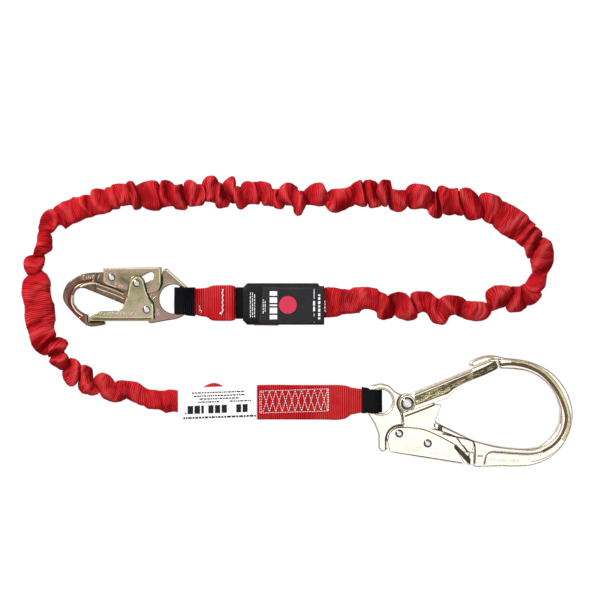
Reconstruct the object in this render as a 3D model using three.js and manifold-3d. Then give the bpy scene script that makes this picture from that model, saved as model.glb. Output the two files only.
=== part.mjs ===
// A shock absorbing lanyard for fall protection, laid flat as on a table.
// Units are millimetres and +Z is up. The origin is on the table, below the middle of the two hooks' box.
// A double-locking snap hook is at the left (-X) and a large scaffold hook is at the right (+X).
import * as THREE from "three";
import { mergeVertices } from "three/addons/utils/BufferGeometryUtils.js";
import Module from "manifold-3d";

const wasm = await Module();
wasm.setup();

// ---- Driving dimensions ----

const WEBBING_WIDTH = 36.5; // flat tubular webbing, edge to edge
const SEAM_GAP = 0.3; // clearance between pieces that lie face to face
const ROUND_SIDES = 20; // sides of a small hole, rivet or bar
const THROUGH = 20; // half height of a cut that goes right through a hook

const SNAP_PLACE = [-150.8, 71.2, 10.4]; // centre of the snap hook's eye, at mid-thickness
const SNAP_HALF = 5.0; // half the thickness of the forged shank
const SNAP_BOW_HALF = 6.4; // half the thickness of the nose and bow
const SNAP_BAR_X = 10.9; // centre of the eye's bar, from the eye's centre
const SNAP_BAR_RADIUS = 5.0;
const SNAP_EYE_RADIUS = 15.3;

const REBAR_PLACE = [65.8, -36.1, 9.6]; // centre of the large hook's eye, at mid-thickness
const REBAR_HALF = 9.0; // half the thickness of the eye and the bow
const REBAR_WEB_HALF = 5.0; // half the thickness of the web between the gate and the lever
const REBAR_BAR_X = -7.5;
const REBAR_BAR_RADIUS = 5.1;
const REBAR_EYE_RADIUS = 12.6;

const CHEEK_GAP = 0.4; // running clearance beside a folded cheek
const SHEET = 1.5; // sheet steel of the gates and levers
const RIVET_RADIUS = 2.6;
const RIVET_HOLE = 2.95;
const SPRING_POCKET_RADIUS = 5.6;
const SPRING_POCKET_FLOOR = 2.6; // height above mid-thickness
const SPRING_COIL = 3.9;
const SPRING_WIRE = 0.5;
const SPRING_HEIGHT = 3.9;

const SNAP_GATE_TURN = THREE.MathUtils.degToRad(28);
const SNAP_LEVER_TURN = THREE.MathUtils.degToRad(9);
const REBAR_LEVER_TURN = THREE.MathUtils.degToRad(6);

const LOOP_WEB = 2.0; // thickness of the webbing in the end loops
const PAD_WEB = 1.5; // thickness of the black wear pads
const SNAP_LOOP_INNER = 6.3; // radius of the loop round the eye's bar
const REBAR_LOOP_INNER = 6.0;
const SNAP_LOOP_WIDTH = 25;
const REBAR_LOOP_WIDTH = 23;

// Sewn webbing of the snap end, from left to right: heights are above the table.
const OVERLAP = { x0: -117.9, x1: -84.8, y: 67.1, width: 37.8, low: 3, high: 14.4 };
const SLEEVE = { x0: -84.4, x1: -66, y: 67, width: 33.6, low: 2.4, high: 14.4 };
const CORE_END = { x0: -65.6, x1: 7.5, y: 67, width: 34, low: 2.6, high: 14.2 };
const COVER = { x0: -78.4, x1: 6.7, y: 66, width: 44, height: 16.8, wall: 1.3 };
const JACKET_WIDTH = 27; // gathered jacket, side to side
const JACKET_HEIGHT = 15;
const JACKET_WALL = 2;
const JACKET_STEPS = 60;
const CORE_WIDTH = 15;
const CORE_HEIGHT = 4.6;

// Centreline of the gathered jacket on the table, from the label cover round to the sewn strap.
const JACKET_ROUTE = [
  [9, 68], [33, 69.5], [57, 69.5], [78, 65], [97, 63], [113, 66], [130, 62], [150, 62.5], [173, 60],
  [187, 69], [203, 72], [220, 75], [230, 85], [235, 102], [233, 118], [224, 136], [210, 148],
  [191, 160], [170, 168], [141, 172], [112, 176], [81, 178], [50, 182], [18, 176], [-19, 178],
  [-75, 181], [-126, 184], [-160, 180], [-213, 177], [-257, 166], [-278, 153], [-290, 133],
  [-296, 100], [-293, 60], [-287, 28], [-274, 12], [-247, -11], [-210, -25], [-180, -35], [-148, -37],
];

// ---- Materials ----

function finish(color, roughness, metalness) {
  return new THREE.MeshStandardMaterial({ color, roughness, metalness });
}

const YELLOW_ZINC = finish(0x9c8a4e, 0.35, 1);
const PALE_ZINC = finish(0xcdbf93, 0.35, 1);
const BRIGHT_STEEL = finish(0xc9cacc, 0.2, 1);
const SPRING_STEEL = finish(0x6f7276, 0.4, 1);
const RED_WEBBING = finish(0xb5141f, 0.85, 0);
const BLACK_WEBBING = finish(0x17171a, 0.9, 0);
const BLACK_COVER = finish(0x1d1d20, 0.7, 0);
const WHITE_LABEL = finish(0xe9e9e6, 0.6, 0);
const CORE_YARN = finish(0xd8cfa8, 0.9, 0);

// ---- Solids ----

// A closed three.js geometry as a solid that can be joined and cut.
function solidOf(geometry) {
  const bare = geometry.clone();
  bare.deleteAttribute("normal");
  bare.deleteAttribute("uv");
  const merged = mergeVertices(bare, 1e-4);
  return new wasm.Manifold(
    new wasm.Mesh({
      numProp: 3,
      vertProperties: merged.attributes.position.array,
      triVerts: new Uint32Array(merged.index.array),
    }),
  );
}

function geometryOf(solid) {
  const mesh = solid.getMesh();
  const geometry = new THREE.BufferGeometry();
  geometry.setAttribute("position", new THREE.BufferAttribute(new Float32Array(mesh.vertProperties), 3));
  geometry.setIndex(new THREE.BufferAttribute(new Uint32Array(mesh.triVerts), 1));
  geometry.computeVertexNormals();
  return geometry;
}

function pieceOf(name, solid, material) {
  const mesh = new THREE.Mesh(geometryOf(solid), material);
  mesh.name = name;
  return mesh;
}

// An outline from straight runs between corner points.
function polygon(corners) {
  return new THREE.Shape(corners.map(([x, y]) => new THREE.Vector2(x, y)));
}

// An outline that mixes straight runs and smooth stretches. A run is a list of points.
// A smooth run continues from the last point of the run before it.
function outline(runs) {
  const shape = new THREE.Shape();
  runs.forEach((run, index) => {
    const points = run.points.map(([x, y]) => new THREE.Vector2(x, y));
    if (index === 0) shape.moveTo(points[0].x, points[0].y);
    if (run.smooth) shape.splineThru(points);
    else points.forEach((point) => shape.lineTo(point.x, point.y));
  });
  return shape;
}

// A plate between two heights, with its rim chamfered where bevel is given.
function plate(shape, low, high, bevel = 0, curveSegments = 4) {
  const geometry = new THREE.ExtrudeGeometry(shape, {
    depth: high - low - 2 * bevel,
    bevelEnabled: bevel > 0,
    bevelThickness: bevel,
    bevelSize: bevel,
    bevelOffset: -bevel,
    bevelSegments: 1,
    curveSegments,
  });
  geometry.translate(0, 0, low + bevel);
  return solidOf(geometry);
}

function disc(x, y, radius, low, high, sides = ROUND_SIDES) {
  const geometry = new THREE.CylinderGeometry(radius, radius, high - low, sides);
  geometry.rotateX(Math.PI / 2);
  geometry.translate(x, y, (low + high) / 2);
  return solidOf(geometry);
}

function block([x0, y0, z0], [x1, y1, z1]) {
  const geometry = new THREE.BoxGeometry(x1 - x0, y1 - y0, z1 - z0);
  geometry.translate((x0 + x1) / 2, (y0 + y1) / 2, (z0 + z1) / 2);
  return solidOf(geometry);
}

// A round bar along Y.
function barAlongY(x, radius, halfLength, sides = 24) {
  const geometry = new THREE.CylinderGeometry(radius, radius, 2 * halfLength, sides);
  geometry.translate(x, 0, 0);
  return solidOf(geometry);
}

// An outline in X and Z, drawn across the webbing's width along Y.
function bandAlongY(shape, y, width, curveSegments = 8) {
  const geometry = new THREE.ExtrudeGeometry(shape, { depth: width, bevelEnabled: false, curveSegments });
  geometry.rotateX(Math.PI / 2);
  geometry.translate(0, y + width / 2, 0);
  return solidOf(geometry);
}

function turned([x, y], [cx, cy], angle) {
  const dx = x - cx;
  const dy = y - cy;
  return [
    cx + dx * Math.cos(angle) - dy * Math.sin(angle),
    cy + dx * Math.sin(angle) + dy * Math.cos(angle),
  ];
}

// A slot of constant width along a path: the space that a pin sweeps.
function strokeShape(path, halfWidth, capSteps = 6) {
  const sides = { left: [], right: [] };
  path.forEach(([x, y], index) => {
    const [ax, ay] = path[Math.max(index - 1, 0)];
    const [bx, by] = path[Math.min(index + 1, path.length - 1)];
    const length = Math.hypot(bx - ax, by - ay);
    const nx = (-(by - ay) / length) * halfWidth;
    const ny = ((bx - ax) / length) * halfWidth;
    sides.left.push([x + nx, y + ny]);
    sides.right.push([x - nx, y - ny]);
  });
  const cap = (from, centre) =>
    Array.from({ length: capSteps - 1 }, (_, k) => turned(from, centre, (-Math.PI * (k + 1)) / capSteps));
  const end = path[path.length - 1];
  return polygon([
    ...sides.left,
    ...cap(sides.left[sides.left.length - 1], end),
    ...sides.right.reverse(),
    ...cap(sides.right[sides.right.length - 1], path[0]),
  ]);
}

// A folded sheet channel: two cheeks joined by a web along one edge.
function channel(cheekShape, webShape, inner) {
  const outer = inner + SHEET;
  const upper = plate(cheekShape, inner, outer, 0, 8);
  const lower = plate(cheekShape, -outer, -inner, 0, 8);
  const web = plate(webShape, -outer, outer, 0, 8);
  return upper.add(lower).add(web);
}

// A rivet through both cheeks, with a domed head on each face.
function rivet(x, y, shankRadius, headRadius, headBase, headTop) {
  const domeSteps = 4;
  const rise = headTop - headBase;
  const rim = rise * 0.3;
  const dome = Array.from({ length: domeSteps + 1 }, (_, k) => {
    const angle = (k / domeSteps) * (Math.PI / 2);
    return new THREE.Vector2(
      headRadius * Math.sin(angle),
      headBase + rim + (rise - rim) * Math.cos(angle),
    );
  });
  const upper = [...dome, new THREE.Vector2(headRadius, headBase), new THREE.Vector2(shankRadius, headBase)];
  const lower = upper.map((point) => new THREE.Vector2(point.x, -point.y)).reverse();
  const geometry = new THREE.LatheGeometry([...upper, ...lower].reverse(), 16);
  geometry.rotateX(Math.PI / 2);
  geometry.translate(x, y, 0);
  return solidOf(geometry);
}

// A torsion spring of nearly one turn in the gap beside a pivot, with two short legs.
function torsionSpring([x, y], coilRadius, wireRadius, height, startAngle) {
  const turns = 0.85;
  const steps = 14;
  const coil = Array.from({ length: steps + 1 }, (_, k) => {
    const angle = startAngle + (k / steps) * turns * 2 * Math.PI;
    return new THREE.Vector3(x + coilRadius * Math.cos(angle), y + coilRadius * Math.sin(angle), height);
  });
  const legLength = coilRadius * 0.5;
  const legFrom = (end, next) => end.clone().add(end.clone().sub(next).setLength(legLength));
  const path = new THREE.CatmullRomCurve3([
    legFrom(coil[0], coil[1]),
    ...coil,
    legFrom(coil[steps], coil[steps - 1]),
  ]);
  const wire = new THREE.Shape().absarc(0, 0, wireRadius, 0, 2 * Math.PI);
  return solidOf(new THREE.ExtrudeGeometry(wire, { steps: 26, extrudePath: path, curveSegments: 3 }));
}

// A small spring that lies in the round pocket beside a pivot.
function pocketSpring(name, pivot, startAngle) {
  const spring = torsionSpring(pivot, SPRING_COIL, SPRING_WIRE, SPRING_HEIGHT, startAngle);
  return pieceOf(name, spring, SPRING_STEEL);
}

// Clears the space that the webbing loop fills round the eye's bar, and leaves the bar round.
function clearLoopRound(body, barX, barRadius, clearRadius, halfWidth) {
  const space = barAlongY(barX, clearRadius, halfWidth).subtract(barAlongY(barX, barRadius, halfWidth + 1));
  return body.subtract(space);
}

// ---- Snap hook ----

const SNAP_GATE_PIVOT = [-28.2, -11.3];
const SNAP_LEVER_PIVOT = [-64.9, 22.4];
const SNAP_PIN = [-38.6, 16.5];
const SNAP_LEVER_INNER = SNAP_HALF + CHEEK_GAP;
const SNAP_GATE_INNER = SNAP_LEVER_INNER + SHEET + CHEEK_GAP;
const SNAP_HEAD_BASE = SNAP_GATE_INNER + SHEET + 0.1;
const SNAP_HEAD_TOP = SNAP_PLACE[2];

// The shank, saddle and eye, without the nose and bow.
function snapShankShape() {
  return outline([
    {
      smooth: false,
      points: [[-88, 12], [-88, 27.4], [-73.5, 28.4], [-63, 28.6], [-55, 26.8], [-47.5, 21.5], [-45, 12.1],
        [-18.5, 11.5], [-14.6, 16], [-11.4, 30.6], [-7.7, 32.3], [15.9, 11.2], [15.9, -10]],
    },
    { smooth: true, points: [[12.5, -15.6], [4.2, -20.4], [-10, -23], [-23.7, -25.4], [-26.4, -24]] },
    { smooth: false, points: [[-28.2, -20.2], [-34.5, -17.6], [-53.9, -4.8], [-87, 8.8]] },
  ]);
}

// The bow and nose, thicker than the shank.
function snapBowShape() {
  return outline([
    { smooth: false, points: [[-82, 6.7], [-82, 27.9], [-85, 27.8]] },
    {
      smooth: true,
      points: [[-95, 26.3], [-104, 22.4], [-112.4, 14.7], [-116.1, 1.3], [-109.2, -10.5], [-97, -22.9],
        [-92, -26.8], [-87.2, -28.9], [-80, -28.4]],
    },
    { smooth: false, points: [[-72.2, -27], [-71.4, -25.6], [-72, -24.4], [-89.7, -24.3], [-90, -16]] },
    { smooth: true, points: [[-95, -14.6], [-101.4, -9.4], [-105, -4]] },
    { smooth: false, points: [[-105, 4]] },
    { smooth: true, points: [[-102.4, 9], [-98.4, 11.4], [-93, 11.2]] },
  ]);
}

function snapHookBody() {
  const eye = disc(0, 0, SNAP_EYE_RADIUS, -SNAP_HALF - 1, SNAP_HALF + 1, 28);
  const eyeCut = eye.subtract(
    block([SNAP_BAR_X - SNAP_BAR_RADIUS, -20, -SNAP_HALF - 2], [20, 20, SNAP_HALF + 2]),
  );
  let body = plate(snapShankShape(), -SNAP_HALF, SNAP_HALF, 0.8);
  body = body.subtract(eyeCut);
  body = clearLoopRound(body, SNAP_BAR_X, SNAP_BAR_RADIUS, 11.2, SNAP_LOOP_WIDTH / 2 + 0.6);
  body = body.add(plate(snapBowShape(), -SNAP_BOW_HALF, SNAP_BOW_HALF, 0.7));
  for (const [x, y] of [SNAP_GATE_PIVOT, SNAP_LEVER_PIVOT])
    body = body.subtract(disc(x, y, RIVET_HOLE, -THROUGH, THROUGH));
  return body.subtract(disc(...SNAP_LEVER_PIVOT, SPRING_POCKET_RADIUS, SPRING_POCKET_FLOOR, THROUGH));
}

function snapGate() {
  const lug = Array.from({ length: 9 }, (_, k) => {
    const angle = THREE.MathUtils.degToRad(-15 + k * 25);
    return [SNAP_PIN[0] + 8.2 * Math.cos(angle), SNAP_PIN[1] + 8.2 * Math.sin(angle)];
  });
  const cheek = polygon([
    ...lug,
    [-48.4, 2.2], [-53.5, -8.8], [-58, -12.3], [-77, -12.8], [-84, -15.8], [-88.5, -17.9],
    [-88.5, -23.1], [-20.7, -22.9], [-20.7, -6.8], [-25.7, 0.2], [-28.8, 8.4],
  ]);
  const web = polygon([[-88.5, -23.1], [-30.6, -23], [-30.6, -21.5], [-88.5, -21.6]]);
  let gate = channel(cheek, web, SNAP_GATE_INNER);
  for (const [x, y] of [SNAP_GATE_PIVOT, SNAP_PIN])
    gate = gate.subtract(disc(x, y, RIVET_HOLE, -THROUGH, THROUGH));
  return gate;
}

// The lever's slot is the path of the gate's pin, seen from the lever, as the gate opens.
function snapLeverSlot() {
  const steps = 6;
  const path = Array.from({ length: steps + 1 }, (_, k) => {
    const share = k / steps;
    const pin = turned(SNAP_PIN, SNAP_GATE_PIVOT, -SNAP_GATE_TURN * share);
    return turned(pin, SNAP_LEVER_PIVOT, SNAP_LEVER_TURN * share);
  });
  return strokeShape(path, 3.9);
}

function snapLockLever() {
  const cheek = outline([
    { smooth: false, points: [[-73.5, 20], [-73.5, 32.3], [-13.2, 33.4], [-13.2, 16.3]] },
    { smooth: true, points: [[-15.8, 9.5], [-21.7, 6.3], [-30, 6.2]] },
    { smooth: false, points: [[-49.9, 8.7], [-69.9, 14.3]] },
    { smooth: true, points: [[-72.6, 16.2], [-73.5, 19.9]] },
  ]);
  // The web stops short of the cheeks' right end, so that it clears the saddle as the lever turns.
  const web = polygon([[-73.5, 30.8], [-73.5, 32.3], [-16.5, 33.3], [-16.5, 31.8]]);
  const lever = channel(cheek, web, SNAP_LEVER_INNER);
  return lever
    .subtract(disc(...SNAP_LEVER_PIVOT, RIVET_HOLE, -THROUGH, THROUGH))
    .subtract(plate(snapLeverSlot(), -THROUGH, THROUGH));
}

function snapHook() {
  const group = new THREE.Group();
  group.position.set(...SNAP_PLACE);
  const leverHeadBase = SNAP_LEVER_INNER + SHEET + 0.1;
  group.add(
    pieceOf("snap_hook_body", snapHookBody(), YELLOW_ZINC),
    pieceOf("snap_gate", snapGate(), YELLOW_ZINC),
    pieceOf("snap_lock_lever", snapLockLever(), YELLOW_ZINC),
    pieceOf(
      "snap_gate_pivot_rivet",
      rivet(...SNAP_GATE_PIVOT, RIVET_RADIUS, 4, SNAP_HEAD_BASE, SNAP_HEAD_TOP),
      BRIGHT_STEEL,
    ),
    pieceOf(
      "snap_lock_pin",
      rivet(...SNAP_PIN, RIVET_RADIUS, 4, SNAP_HEAD_BASE, SNAP_HEAD_TOP),
      BRIGHT_STEEL,
    ),
    pieceOf(
      "snap_lock_pivot_rivet",
      rivet(...SNAP_LEVER_PIVOT, RIVET_RADIUS, 3.8, leverHeadBase, leverHeadBase + 2),
      BRIGHT_STEEL,
    ),
    pieceOf("snap_gate_spring", torsionSpring(SNAP_GATE_PIVOT, 4.6, 0.7, 6.15, 0.4), SPRING_STEEL),
    pocketSpring("snap_lock_spring", SNAP_LEVER_PIVOT, 1.2),
  );
  return group;
}

// ---- Large scaffold hook ----

const REBAR_GATE_PIVOT = [28, -1.9];
const REBAR_LEVER_PIVOT = [19.6, -33.5];
const REBAR_LEVER_PIN = [49.4, -43.8];
const REBAR_CHEEK_INNER = REBAR_WEB_HALF + CHEEK_GAP;
const REBAR_HEAD_BASE = REBAR_CHEEK_INNER + SHEET + 0.1;
const REBAR_HEAD_TOP = REBAR_PLACE[2];

function rebarHookShape() {
  return outline([
    {
      smooth: false,
      points: [[-12.6, 13.6], [-9, 17], [0.7, 19.1], [9, 16.9], [15.4, 10.6], [21.5, 7.4], [28, 8.6],
        [34, 6.6], [38, 2], [64, -4], [57.5, -21.3], [96.6, -40.5]],
    },
    {
      smooth: true,
      points: [[120.1, -46.4], [140, -49], [155.5, -49.4], [168.7, -46.4], [180.5, -36.1], [187.8, -22.9]],
    },
    { smooth: false, points: [[188.7, -8.2]] },
    { smooth: true, points: [[182, 9.7], [170.2, 22.8], [155.5, 31], [141, 33.6], [127.5, 34.4]] },
    {
      smooth: false,
      points: [[126.2, 43.8], [118, 43.9], [96.4, 37.6], [93.4, 36.6], [93.5, 39.4], [99.4, 44.8]],
    },
    {
      smooth: true,
      points: [[108, 47.6], [118, 48.4], [130, 45.9], [155.5, 42.2], [177.6, 31.7], [192.4, 15.4],
        [199.7, -1.9], [201.2, -15.5], [198.1, -31.7], [189.3, -47.9], [176.1, -59.6], [159.9, -66.4],
        [144, -68], [125.7, -67.8]],
    },
    { smooth: false, points: [[99.4, -68.6], [96.6, -67], [96.6, -53.8], [25.4, -52], [9.5, -48.4]] },
    { smooth: false, points: [[3.8, -52.3], [0.7, -52.3], [-2.2, -49.1], [-2.2, -34.4], [-6.6, -22.9]] },
    { smooth: false, points: [[-12.6, -13.6]] },
  ]);
}

// Where the gate's cheeks lie and swing, beside the thin web.
function rebarGateRoom(low, high) {
  const round = disc(...REBAR_GATE_PIVOT, 11, low, high, 28);
  const sweep = plate(
    polygon([[28, 14], [70, 14], [70, -10], [57.6, -21.8], [24, -22.6], [22.4, -11]]),
    low,
    high,
  );
  return round.add(sweep);
}

// Where the lock lever's cheeks lie and swing.
function rebarLeverRoom(low, high) {
  return plate(
    polygon([[5.4, -60], [5, -37.6], [7.6, -30.4], [14.4, -25.6], [26, -24.4], [44, -25.4], [62, -29.8],
      [79, -36.4], [94.6, -56.6], [96, -75], [10, -75]]),
    low,
    high,
  );
}

function rebarPockets(low, high) {
  const lower = outline([
    { smooth: false, points: [[110, -64.4], [110, -58.6]] },
    { smooth: true, points: [[111.4, -56.4], [114, -55.6]] },
    { smooth: false, points: [[161, -56.6], [172, -52], [165, -60.6], [150, -64.6]] },
  ]);
  const upper = polygon([[66, -29.4], [98, -44.6], [97.6, -50.4], [88, -44.6], [80, -39.6], [66, -32.6]]);
  return plate(lower, low, high).add(plate(upper, low, high));
}

// The groove that follows the middle of the bow on each face.
function rebarBowGroove(low, high) {
  const path = [[120, -51.8], [140, -54.4], [157, -55.2], [171, -51.6], [184.6, -39.8], [192.6, -24.6],
    [194, -9.2], [187.2, 11.6], [174, 26.4], [157, 35.8], [142, 38.8]];
  return plate(strokeShape(path, 1.6, 4), low, high);
}

function rebarHookBody() {
  const shape = rebarHookShape();
  let body = plate(shape, -REBAR_HALF, REBAR_HALF, 1.2, 4);
  const eye = disc(0, 0, REBAR_EYE_RADIUS, -THROUGH, THROUGH, 28);
  const eyeCut = eye.subtract(block([-20, -20, -21], [REBAR_BAR_X + REBAR_BAR_RADIUS, 20, 21]));
  body = body.subtract(eyeCut);
  body = clearLoopRound(body, REBAR_BAR_X, REBAR_BAR_RADIUS, 10.6, REBAR_LOOP_WIDTH / 2 + 0.6);
  for (const side of [1, -1]) {
    const range = (from) => (side > 0 ? [from, THROUGH] : [-THROUGH, -from]);
    body = body.subtract(rebarGateRoom(...range(REBAR_WEB_HALF)));
    body = body.subtract(rebarLeverRoom(...range(REBAR_WEB_HALF)));
    body = body.subtract(rebarPockets(...range(REBAR_HALF - 2)));
    body = body.subtract(rebarBowGroove(...range(REBAR_HALF - 1)));
  }
  for (const [x, y] of [REBAR_GATE_PIVOT, REBAR_LEVER_PIVOT]) {
    body = body.subtract(disc(x, y, RIVET_HOLE, -THROUGH, THROUGH));
    body = body.subtract(disc(x, y, SPRING_POCKET_RADIUS, SPRING_POCKET_FLOOR, THROUGH));
  }
  const swing = [0, 0.5, 1].map((share) =>
    turned(REBAR_LEVER_PIN, REBAR_LEVER_PIVOT, REBAR_LEVER_TURN * share),
  );
  return body.subtract(plate(strokeShape(swing, RIVET_RADIUS + 0.8), -THROUGH, THROUGH));
}

function rebarGate() {
  const ring = Array.from({ length: 7 }, (_, k) => {
    const angle = THREE.MathUtils.degToRad(95 + k * 25);
    return [REBAR_GATE_PIVOT[0] + 9.6 * Math.cos(angle), REBAR_GATE_PIVOT[1] + 9.6 * Math.sin(angle)];
  });
  const cheek = polygon([
    ...ring, [24.4, -12.2], [70, 3.4], [84.8, 17.6], [123.4, 36.4], [123.6, 40], [121.8, 42.4],
    [115.4, 42.2], [35.4, 9.7], [33, 7.6],
  ]);
  const web = polygon([[35.4, 9.7], [36.2, 8.2], [116, 40.6], [121.4, 40.7], [121.8, 42.4], [115.4, 42.2]]);
  const gate = channel(cheek, web, REBAR_CHEEK_INNER);
  return gate.subtract(disc(...REBAR_GATE_PIVOT, RIVET_HOLE, -THROUGH, THROUGH));
}

function rebarLockLever() {
  const cheek = outline([
    { smooth: false, points: [[10.2, -53], [6.2, -38.2]] },
    {
      smooth: true,
      points: [[8.4, -32], [15.4, -27.4], [26, -26.6], [44.8, -28.8], [61.2, -35.5], [77.4, -44.2]],
    },
    { smooth: false, points: [[88.4, -65.9]] },
  ]);
  const web = polygon([[10.2, -53], [88.4, -65.9], [87.8, -64.4], [10, -51.4]]);
  let lever = channel(cheek, web, REBAR_CHEEK_INNER);
  for (const [x, y] of [REBAR_LEVER_PIVOT, REBAR_LEVER_PIN])
    lever = lever.subtract(disc(x, y, RIVET_HOLE, -THROUGH, THROUGH));
  return lever;
}

function rebarHook() {
  const group = new THREE.Group();
  group.position.set(...REBAR_PLACE);
  const head = [REBAR_HEAD_BASE, REBAR_HEAD_TOP];
  group.add(
    pieceOf("rebar_hook_body", rebarHookBody(), PALE_ZINC),
    pieceOf("rebar_gate", rebarGate(), PALE_ZINC),
    pieceOf("rebar_lock_lever", rebarLockLever(), PALE_ZINC),
    pieceOf("rebar_gate_pivot_rivet", rivet(...REBAR_GATE_PIVOT, RIVET_RADIUS, 6.2, ...head), BRIGHT_STEEL),
    pieceOf("rebar_lock_pivot_rivet", rivet(...REBAR_LEVER_PIVOT, RIVET_RADIUS, 3.5, ...head), PALE_ZINC),
    pieceOf("rebar_lock_pin", rivet(...REBAR_LEVER_PIN, RIVET_RADIUS, 3.6, ...head), PALE_ZINC),
    pocketSpring("rebar_gate_spring", REBAR_GATE_PIVOT, 2.2),
    pocketSpring("rebar_lock_spring", REBAR_LEVER_PIVOT, 0.6),
  );
  return group;
}

// ---- Webbing ----

// One layer of webbing wrapped round a bar: an open loop whose legs close in by slope.
// direction is +1 where the legs run towards +X.
function wrapShape([barX, barZ], direction, innerRadius, thickness, legLength, slope) {
  const outer = innerRadius + thickness;
  const steps = 12;
  const arc = (radius) =>
    Array.from({ length: steps + 1 }, (_, k) => {
      const angle = Math.PI / 2 + (Math.PI * k) / steps;
      return [radius * Math.cos(angle), radius * Math.sin(angle)];
    });
  const end = legLength * slope;
  const points = [
    [legLength, outer - end],
    ...arc(outer),
    [legLength, end - outer],
    [legLength, end - innerRadius],
    ...arc(innerRadius).reverse(),
    [legLength, innerRadius - end],
  ];
  return polygon(points.map(([x, z]) => [barX + direction * x, barZ + z]));
}

function wrap(place, barX, direction, innerRadius, thickness, legLength, slope, width) {
  const centre = [place[0] + barX, place[2]];
  const shape = wrapShape(centre, direction, innerRadius, thickness, legLength, slope);
  return bandAlongY(shape, place[1], width);
}

function sewnBlock({ x0, x1, y, width, low, high }) {
  return block([x0, y - width / 2, low], [x1, y + width / 2, high]);
}

function snapEnd() {
  const group = new THREE.Group();
  const slope = 0.27;
  const loop = wrap(SNAP_PLACE, SNAP_BAR_X, 1, SNAP_LOOP_INNER, LOOP_WEB, 21.6, slope, SNAP_LOOP_WIDTH);
  const padInner = SNAP_LOOP_INNER + LOOP_WEB + SEAM_GAP;
  const pad = wrap(SNAP_PLACE, SNAP_BAR_X, 1, padInner, PAD_WEB, 11.1, slope, SNAP_LOOP_WIDTH);
  group.add(
    pieceOf("snap_end_loop", loop, RED_WEBBING),
    pieceOf("snap_wear_pad", pad, BLACK_WEBBING),
    pieceOf("snap_end_overlap", sewnBlock(OVERLAP), RED_WEBBING),
    pieceOf("pack_sleeve", sewnBlock(SLEEVE), BLACK_WEBBING),
    pieceOf("sewn_core_end", sewnBlock(CORE_END), RED_WEBBING),
    pieceOf("label_cover", labelCover(), BLACK_COVER),
  );
  return group;
}

// A folded cover, open at both ends, with its left corners cut back.
function labelCover() {
  const { x0, x1, y, width, height, wall } = COVER;
  const y0 = y - width / 2;
  const y1 = y + width / 2;
  const corner = 4.5;
  const outer = plate(
    polygon([[x0, y0 + corner], [x0 + corner, y0], [x1, y0], [x1, y1], [x0 + corner, y1], [x0, y1 - corner]]),
    0,
    height,
  );
  return outer.subtract(block([x0 - 1, y0 + wall, wall], [x1 + 1, y1 - wall, height - wall]));
}

function rebarEnd() {
  const group = new THREE.Group();
  const [eyeX, y, z] = REBAR_PLACE;
  const barX = eyeX + REBAR_BAR_X;
  const slope = 0.2;
  const strapEnd = barX - 24.6;
  const web = LOOP_WEB - 0.2;
  const loop = wrap(REBAR_PLACE, REBAR_BAR_X, -1, REBAR_LOOP_INNER, web, 24.2, slope, REBAR_LOOP_WIDTH);
  const padInner = REBAR_LOOP_INNER + web + SEAM_GAP;
  const pad = wrap(REBAR_PLACE, REBAR_BAR_X, -1, padInner, PAD_WEB, 11.8, slope, REBAR_LOOP_WIDTH);
  group.add(
    pieceOf("rebar_end_loop", loop, RED_WEBBING),
    pieceOf("rebar_wear_pad", pad, BLACK_WEBBING),
    pieceOf("rebar_end_strap", rebarEndStrap(strapEnd, y - 1.3, z), RED_WEBBING),
    pieceOf("capacity_label", capacityLabel(y - 1.3), WHITE_LABEL),
  );
  return group;
}

const STRAP_START = -144.4;
const STRAP_HALF = 3.4; // half the thickness of the sewn layers
const STRAP_LOW = 4.6; // height of the strap's middle where it lies on the table

// The sewn strap lies on the table at the left and rises to the eye's height at the right.
function rebarEndStrap(endX, y, eyeHeight) {
  const rise = [[STRAP_START, STRAP_LOW], [-20, STRAP_LOW], [10, 6], [endX, eyeHeight - 1.4]];
  const shape = outline([
    { smooth: false, points: [[STRAP_START, STRAP_LOW - STRAP_HALF]] },
    { smooth: true, points: rise.slice(1).map(([x, z]) => [x, z - STRAP_HALF]) },
    { smooth: false, points: [[endX, eyeHeight - 1.4 + STRAP_HALF]] },
    { smooth: true, points: rise.slice(0, -1).reverse().map(([x, z]) => [x, z + STRAP_HALF]) },
  ]);
  const corner = 4;
  const half = WEBBING_WIDTH / 2;
  const plan = polygon([
    [STRAP_START - 1, y - half], [endX - 8, y - half], [endX + 1, y - half + corner],
    [endX + 1, y + half - corner], [endX - 8, y + half], [STRAP_START - 1, y + half],
  ]);
  return bandAlongY(shape, y, WEBBING_WIDTH + 2).intersect(plate(plan, -5, 30));
}

// The white label wraps the strap, and is open at both ends.
function capacityLabel(y) {
  const half = WEBBING_WIDTH / 2;
  const low = STRAP_LOW - STRAP_HALF;
  const high = STRAP_LOW + STRAP_HALF;
  const outer = block([-145.4, y - half - 1.4, low - 1.1], [-63, y + half + 1.4, high + 1.1]);
  const inner = block([-150, y - half - 0.4, low - 0.4], [-60, y + half + 0.4, high + 0.4]);
  return outer.subtract(inner);
}

// ---- Gathered jacket and the core inside it ----

function jacketPath(height) {
  return new THREE.CatmullRomCurve3(JACKET_ROUTE.map(([x, y]) => new THREE.Vector3(x, y, height)));
}

// An oval section: x is its height and y its width, as the path carries it.
function oval(width, height) {
  return new THREE.Shape().absellipse(0, 0, height / 2, width / 2, 0, 2 * Math.PI);
}

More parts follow.
